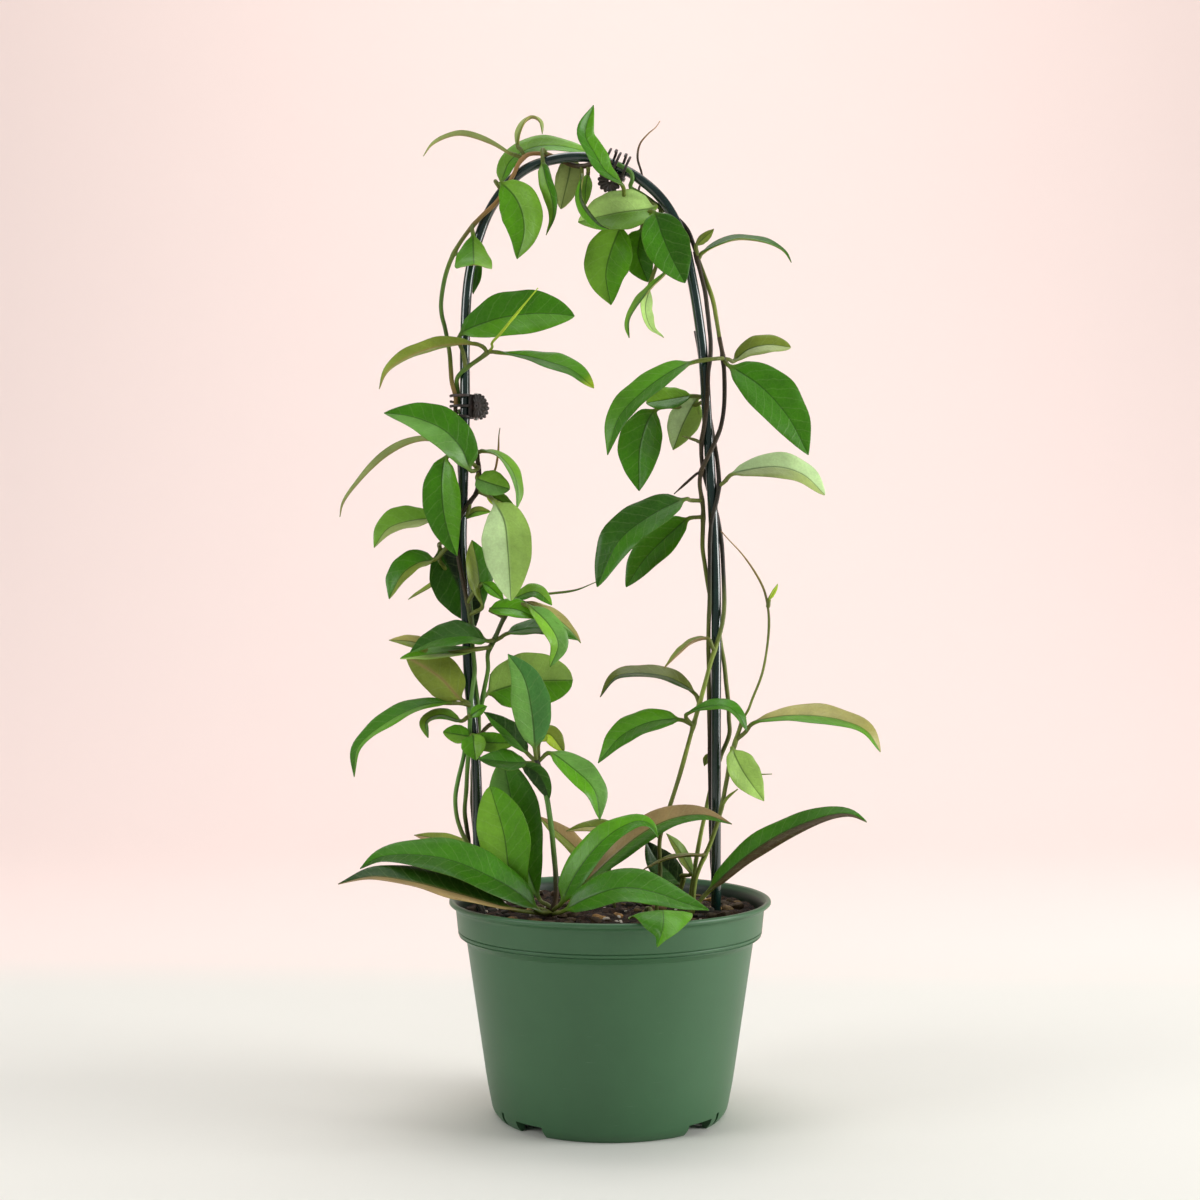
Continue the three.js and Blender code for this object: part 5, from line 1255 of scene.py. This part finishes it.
def arc_bar(thick, low, high, from_deg, to_deg, steps=22):
    """A bar bent on an arc round the wire: section radial by along the wire, ends a little thinner."""
    a = np.radians(np.linspace(from_deg, to_deg, steps))
    ring = rounded_ring(thick, high - low, 0.3)
    end = np.minimum(np.arange(steps), np.arange(steps)[::-1])
    slim = (0.72 + 0.28 * np.minimum(end / 2, 1))[:, None]
    r = PRONG_RADIUS + thick / 2 + ring[:, 0] * slim
    z = (low + high) / 2 + ring[:, 1] * slim
    return np.stack([r * np.cos(a)[:, None] + PRONG_SHIFT, r * np.sin(a)[:, None], z], axis=-1)


def grip_disc(teeth):
    """The round grip, cut off straight on one side, as rings that run from a small hole over the upper face,
    round the rim and back below. Its rim is drawn in by 0.8 mm times |sin(teeth a / 2)|^4 between rounded
    petals, and both faces sink there into radial grooves."""
    a = np.linspace(0, 2 * np.pi, teeth * 8, endpoint=False)
    gap = np.abs(np.sin(teeth * a / 2)) ** 4
    levels = np.array([(0.55, 1.2), (1.5, 1.2), (1.8, 0.8), (2.4, 0.72), (3.6, 0.78), (4.8, 0.85), (5.7,
                      0.78),
                       (6.1, 0.4)])
    radius = np.concatenate([levels[::-1, 0], levels[:, 0], levels[-1:, 0]])[:, None]
    level = np.concatenate([-levels[::-1, 1], levels[:, 1], -levels[-1:, 1]])[:, None]
    outer = step_between(1.7, 3.2, radius)
    r = radius - 0.8 * gap * step_between(4.6, 5.8, radius)
    level = level * (1 - 0.55 * gap * outer)
    grid = np.stack([np.maximum(r * np.cos(a), -3.6), r * np.sin(a), level], axis=-1)
    return np.roll(grid[:-1], -len(levels), axis=0)[np.r_[0:len(grid) - 1, 0]]


def ring_solid(inner, outer, low, high):
    """A short sleeve about z: its rounded section turned into a closed ring."""
    ring = rounded_ring(outer - inner, high - low, 0.15)
    a = np.linspace(0, 2 * np.pi, 29)
    r = (inner + outer) / 2 + ring[:, 0]
    z = (low + high) / 2 + ring[:, 1]
    return np.stack([r * np.cos(a)[:, None], r * np.sin(a)[:, None], z + 0 * a[:, None]], axis=-1)


def jaw(prongs, knuckles, teeth, mirrored):
    """One jaw of a spring clip in the clip's own frame: curved prongs, the bar that joins them, the toothed
    grip, two hinge knuckles and their arms."""
    parts = [arc_bar(1.2, z - 0.65, z + 0.65, 44, 188) for z in prongs]
    parts.append(arc_bar(1.5, -5.85, 5.85, 14, 47, steps=10))
    parts.append(turn_about(turn_about(grip_disc(teeth), "x", 90), "z", 41) + [6.8, 4.5, 0])
    for low, high in knuckles:
        for a, b in ((low, high), (-high, -low)):
            parts.append(ring_solid(1.0, 1.6, a, b) + [PIN_REACH, 0, 0])
            ring = rounded_ring(2.35, 1.6, 0.35)
            levels = np.array([a, a + 0.12, b - 0.12, b])
            slim = np.array([0.9, 1, 1, 0.9])[:, None]
            arm = np.stack([ring[:, 0] * slim, ring[:, 1] * slim, levels[:, None] + 0 * ring[:, 0]], axis=-1)
            parts.append(turn_about(arm, "z", -58) + [4.3, 2.1, 0])
    return [p * [1, -1, 1] for p in parts] if mirrored else parts


def make_clip(name, index, lean, settings):
    """One spring clip at a place on the hoop, leaned round the wire: front jaw, back jaw on its own body,
    hinge pin and coil spring."""
    centre = round_wire(index, 0, 0)[0]
    inside = round_wire(index, 0, 1)[0] - centre
    front = round_wire(index, -90, 1)[0] - centre
    basis = np.stack([inside, front, np.cross(inside, front)])

    def place(part):
        return turn_about(part, "z", -lean) @ basis + centre

    plastic, steel = bpy.data.materials["moulded_brown_plastic"], bpy.data.materials["drawn_spring_steel"]
    halves = (
        ("front", [-5.2, 0, 5.2], [(3.5, 5.85)], False, "root"),
        ("back", [-2.6, 2.6], [(1.7, 3.2)], True, name + "_jaw"),
    )
    for half, prongs, knuckles, mirrored, body in halves:
        parts = [place(part) for part in jaw(prongs, knuckles, settings.teeth, mirrored)]
        make_piece(f"{name}_{half}_jaw", parts, plastic, [f"{name}_{half}"], body,
                   merged=True,
                   sharp=40)

    head = [(0, 6.8), (0.9, 6.78), (1.26, 6.5), (1.26, 6.15), (0.7, 6.1)]
    pin = turned(np.array([(r, -z) for r, z in head] + head[::-1]), 20) + [PIN_REACH, 0, 0]
    make_piece(name + "_hinge_pin", [place(pin)], steel, [name + "_pin"], merged=True,
               sharp=40)

    t = np.linspace(0, 1, 24 * settings.coils)
    turn = 2 * np.pi * settings.coils * t
    coil = np.stack([PIN_REACH + 1.27 * np.cos(turn), 1.27 * np.sin(turn), -1.2 + 2.4 * t], axis=-1)
    make_piece(name + "_coil_spring", [place(tube(coil, 0.19, 8))], steel, [name + "_spring"])


def area_light(name, place, aim, size, power, colour="#ffffff"):
    """A soft square light at a place, turned to a point."""
    data = bpy.data.lights.new(name, "AREA")
    data.shape, data.size, data.energy, data.color = "SQUARE", size, power, linear(colour)[:3]
    light = shown(name, data)
    light.location = place
    light.rotation_euler = (Vector(aim) - Vector(place)).to_track_quat("-Z", "Y").to_euler()


def make_stage(settings):
    """A pale paper sweep, soft lights and the camera at the photograph's place, 965 mm before the hoop."""
    y = np.concatenate([[-4.0, -1.0, 1.0], 1.0 + 1.2 * np.sin(np.linspace(0.1, np.pi / 2, 16)), [2.2]])
    z = np.concatenate([[0.0, 0.0, 0.0], 1.2 - 1.2 * np.cos(np.linspace(0.1, np.pi / 2, 16)), [4.5]])
    x = np.array([-5.0, 5.0])
    grid = np.stack([x + 0 * y[:, None], y[:, None] + 0 * x, z[:, None] + 0 * x], axis=-1)
    number = np.arange(len(y) * 2).reshape(-1, 2)
    faces = np.stack([number[:-1, 0], number[:-1, 1], number[1:, 1], number[1:, 0]], axis=-1)
    mesh = bpy.data.meshes.new("paper_sweep")
    mesh.from_pydata(grid.reshape(-1, 3).tolist(), [], faces.tolist())
    mesh.materials.append(stage_material(settings.floor, settings.paper))
    mesh.shade_smooth()
    shown("paper_sweep", mesh)

    aim = (0.0, 0.0, 0.27)
    area_light("right_light", (1.65, -0.35, 0.5), aim, 0.9, settings.right_power)
    area_light("left_light", (-1.45, -0.75, 0.8), aim, 0.7, settings.left_power)
    area_light("top_light", (0.1, 0.1, 1.9), aim, 1.6, settings.top_power)
    area_light("wall_light", (0.0, 0.55, 2.4), (0.0, 2.1, 0.7), 1.6, settings.wall_power)
    world = bpy.data.worlds.new("soft_room")
    world.use_nodes = True
    background = world.node_tree.nodes["Background"]
    background.inputs["Color"].default_value = settings.room
    background.inputs["Strength"].default_value = settings.room_light
    bpy.context.scene.world = world

    bpy.context.scene.view_settings.view_transform = "Standard"
    camera = bpy.data.cameras.new("photo_camera")
    camera.sensor_width, camera.lens = 36.0, 57.9
    camera.clip_start, camera.clip_end = 0.01, 50.0
    seat = shown("photo_camera", camera)
    seat.location = tuple(EYE * MM)
    seat.rotation_euler = (math.pi / 2, 0.0, 0.0)
    bpy.context.scene.camera = seat


# Settings

class HoyaPotSettings(bpy.types.PropertyGroup):
    """Sizes and colour of the nursery pot."""
    rim_radius: FloatProperty(name="Rim radius", description="Outer radius of the rolled lip", default=0.0802,
                              unit="LENGTH")
    height: FloatProperty(name="Height", description="Height of the pot over its lip", default=0.1075,
                          unit="LENGTH")
    wall: FloatProperty(name="Wall", description="Thickness of the moulded wall", default=0.0013,
                        unit="LENGTH")
    colour: FloatVectorProperty(name="Colour", description="Colour of the plastic", subtype="COLOR", size=4,
                                min=0, max=1, default=linear("#38613e"))


class HoyaSoilSettings(bpy.types.PropertyGroup):
    """What lies in the pot."""
    chips: IntProperty(name="Bark chips", description="Number of bark chips on the soil", default=190, min=1)
    perlite: IntProperty(name="Perlite", description="Number of perlite bits on the soil", default=46, min=1)
    colour: FloatVectorProperty(name="Colour", description="Colour of the damp peat", subtype="COLOR", size=4,
                                min=0, max=1, default=linear("#150e09"))


class HoyaWireSettings(bpy.types.PropertyGroup):
    """The hoop's coated wire."""
    radius: FloatProperty(name="Wire radius", description="Radius of the wire with its coat",
                          default=WIRE_RADIUS * MM, unit="LENGTH")
    colour: FloatVectorProperty(name="Colour", description="Colour of the wire's coat", subtype="COLOR",
                                size=4,
                                min=0, max=1, default=linear("#0f2a24"))


class HoyaClipSettings(bpy.types.PropertyGroup):
    """The spring clips."""
    teeth: IntProperty(name="Grip petals", description="Rounded petals round each grip", default=14, min=6)
    coils: IntProperty(name="Spring coils", description="Turns of each spring", default=5, min=2)
    colour: FloatVectorProperty(name="Colour", description="Colour of the clips", subtype="COLOR", size=4,
                                min=0, max=1, default=linear("#2e2622"))


class HoyaLeafSettings(bpy.types.PropertyGroup):
    """Leaves and stems."""
    stem_radius: FloatProperty(name="Stem radius", description="Radius of a vine's stem",
                               default=STEM_RADIUS * MM, unit="LENGTH")
    petiole_radius: FloatProperty(name="Petiole radius", description="Radius of a leaf's stalk",
                                  default=0.00105,
                                  unit="LENGTH")
    blade_thickness: FloatProperty(name="Blade thickness", description="Thickness of a blade beside its rib",
                                   default=0.00075, unit="LENGTH")
    rim_wave: FloatProperty(name="Rim wave",
                            description="Height of the rim's waves as a share of the half width",
                            default=0.045, min=0, max=0.3, subtype="FACTOR")


class HoyaStageSettings(bpy.types.PropertyGroup):
    """Paper and light."""
    paper: FloatVectorProperty(name="Wall", description="Colour of the paper's upright part", subtype="COLOR",
                               size=4, min=0, max=1, default=linear("#fdeae4"))
    floor: FloatVectorProperty(name="Floor", description="Colour of the paper's level part", subtype="COLOR",
                               size=4, min=0, max=1, default=linear("#e9e8e1"))
    room: FloatVectorProperty(name="Room", description="Colour of the even light all round", subtype="COLOR",
                              size=4, min=0, max=1, default=linear("#f1f4f6"))
    right_power: FloatProperty(name="Right light", description="Power of the window side's light in watts",
                               default=26, unit="POWER")
    left_power: FloatProperty(name="Left light", description="Power of the left light in watts", default=11,
                              unit="POWER")
    top_power: FloatProperty(name="Top light", description="Power of the top light in watts", default=9,
                             unit="POWER")
    wall_power: FloatProperty(name="Wall light", description="Power of the backdrop's light in watts",
                              default=24,
                              unit="POWER")
    room_light: FloatProperty(name="Room light", description="Strength of the even light all round",
                              default=0.28)


# Operators

class HOYA_OT_materials(bpy.types.Operator):
    """Make the finishes that several pieces share"""
    bl_idname = "hoya.materials"
    bl_label = "Make shared finishes"

    def execute(self, context):
        leaf_material("waxy_leaf_upper_face", 0.4, 0.12, 0.0004, "#26430c", 0.6, 0.07)
        leaf_material("waxy_leaf_underside", 0.55, 0.0, 0.0006, "#8f7448", 0.5, 0.05)
        stem_material()
        clip_material(context.scene.hoya_clips.colour)
        spring_material()
        return {"FINISHED"}


class HOYA_OT_pot(bpy.types.Operator):
    """Make the nursery pot"""
    bl_idname = "hoya.pot"
    bl_label = "Make pot"

    def execute(self, context):
        make_pot(context.scene.hoya_pot)
        return {"FINISHED"}


class HOYA_OT_soil(bpy.types.Operator):
    """Make the soil with its bark chips and perlite"""
    bl_idname = "hoya.soil"
    bl_label = "Make soil"

    def execute(self, context):
        make_soil(context.scene.hoya_soil)
        return {"FINISHED"}


class HOYA_OT_hoop(bpy.types.Operator):
    """Make the wire hoop"""
    bl_idname = "hoya.hoop"
    bl_label = "Make hoop"

    def execute(self, context):
        make_hoop(context.scene.hoya_wire)
        return {"FINISHED"}


class HOYA_OT_clips(bpy.types.Operator):
    """Make the two spring clips"""
    bl_idname = "hoya.clips"
    bl_label = "Make clips"

    def execute(self, context):
        make_clip("low_clip", hoop_index("L", 353.3), 0, context.scene.hoya_clips)
        make_clip("top_clip", hoop_index("A", 2), 41, context.scene.hoya_clips)
        return {"FINISHED"}


class HOYA_OT_left_vines(bpy.types.Operator):
    """Grow the vines of the left leg"""
    bl_idname = "hoya.left_vines"
    bl_label = "Grow left vines"

    def execute(self, context):
        for name in LEFT_VINES:
            grow(name, context.scene.hoya_leaves)
        return {"FINISHED"}


class HOYA_OT_right_vines(bpy.types.Operator):
    """Grow the vines of the right leg"""
    bl_idname = "hoya.right_vines"
    bl_label = "Grow right vines"

    def execute(self, context):
        for name in RIGHT_VINES:
            grow(name, context.scene.hoya_leaves)
        return {"FINISHED"}


class HOYA_OT_cuttings(bpy.types.Operator):
    """Grow the cuttings and single leaves that stand in the soil"""
    bl_idname = "hoya.cuttings"
    bl_label = "Grow cuttings"

    def execute(self, context):
        for name in CUTTINGS:
            grow(name, context.scene.hoya_leaves)
        return {"FINISHED"}


class HOYA_OT_stage(bpy.types.Operator):
    """Set the paper, the lights and the camera"""
    bl_idname = "hoya.stage"
    bl_label = "Set stage"

    def execute(self, context):
        make_stage(context.scene.hoya_stage)
        return {"FINISHED"}


OPERATORS = (HOYA_OT_materials, HOYA_OT_pot, HOYA_OT_soil, HOYA_OT_hoop, HOYA_OT_clips, HOYA_OT_left_vines,
             HOYA_OT_right_vines, HOYA_OT_cuttings, HOYA_OT_stage)
SETTINGS = {
    "hoya_pot": HoyaPotSettings, "hoya_soil": HoyaSoilSettings, "hoya_wire": HoyaWireSettings,
    "hoya_clips": HoyaClipSettings, "hoya_leaves": HoyaLeafSettings, "hoya_stage": HoyaStageSettings,
}


class HOYA_PT_panel(bpy.types.Panel):
    """The hoya's pieces in order"""
    bl_idname = "HOYA_PT_panel"
    bl_label = "Potted hoya"
    bl_space_type = "VIEW_3D"
    bl_region_type = "UI"
    bl_category = "Hoya"

    def draw(self, context):
        for name, group in SETTINGS.items():
            box = self.layout.box()
            for key in group.__annotations__:
                box.prop(getattr(context.scene, name), key)
        for operator in OPERATORS:
            self.layout.operator(operator.bl_idname)


def register():
    for cls in (*SETTINGS.values(), *OPERATORS, HOYA_PT_panel):
        bpy.utils.register_class(cls)
    for name, group in SETTINGS.items():
        setattr(bpy.types.Scene, name, PointerProperty(type=group))


def unregister():
    for name in SETTINGS:
        delattr(bpy.types.Scene, name)
    for cls in reversed((*SETTINGS.values(), *OPERATORS, HOYA_PT_panel)):
        bpy.utils.unregister_class(cls)


def main():
    """Registers the add-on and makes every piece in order."""
    register()
    for operator in OPERATORS:
        getattr(bpy.ops.hoya, operator.bl_idname.split(".")[1])()


if __name__ == "__main__":
    main()
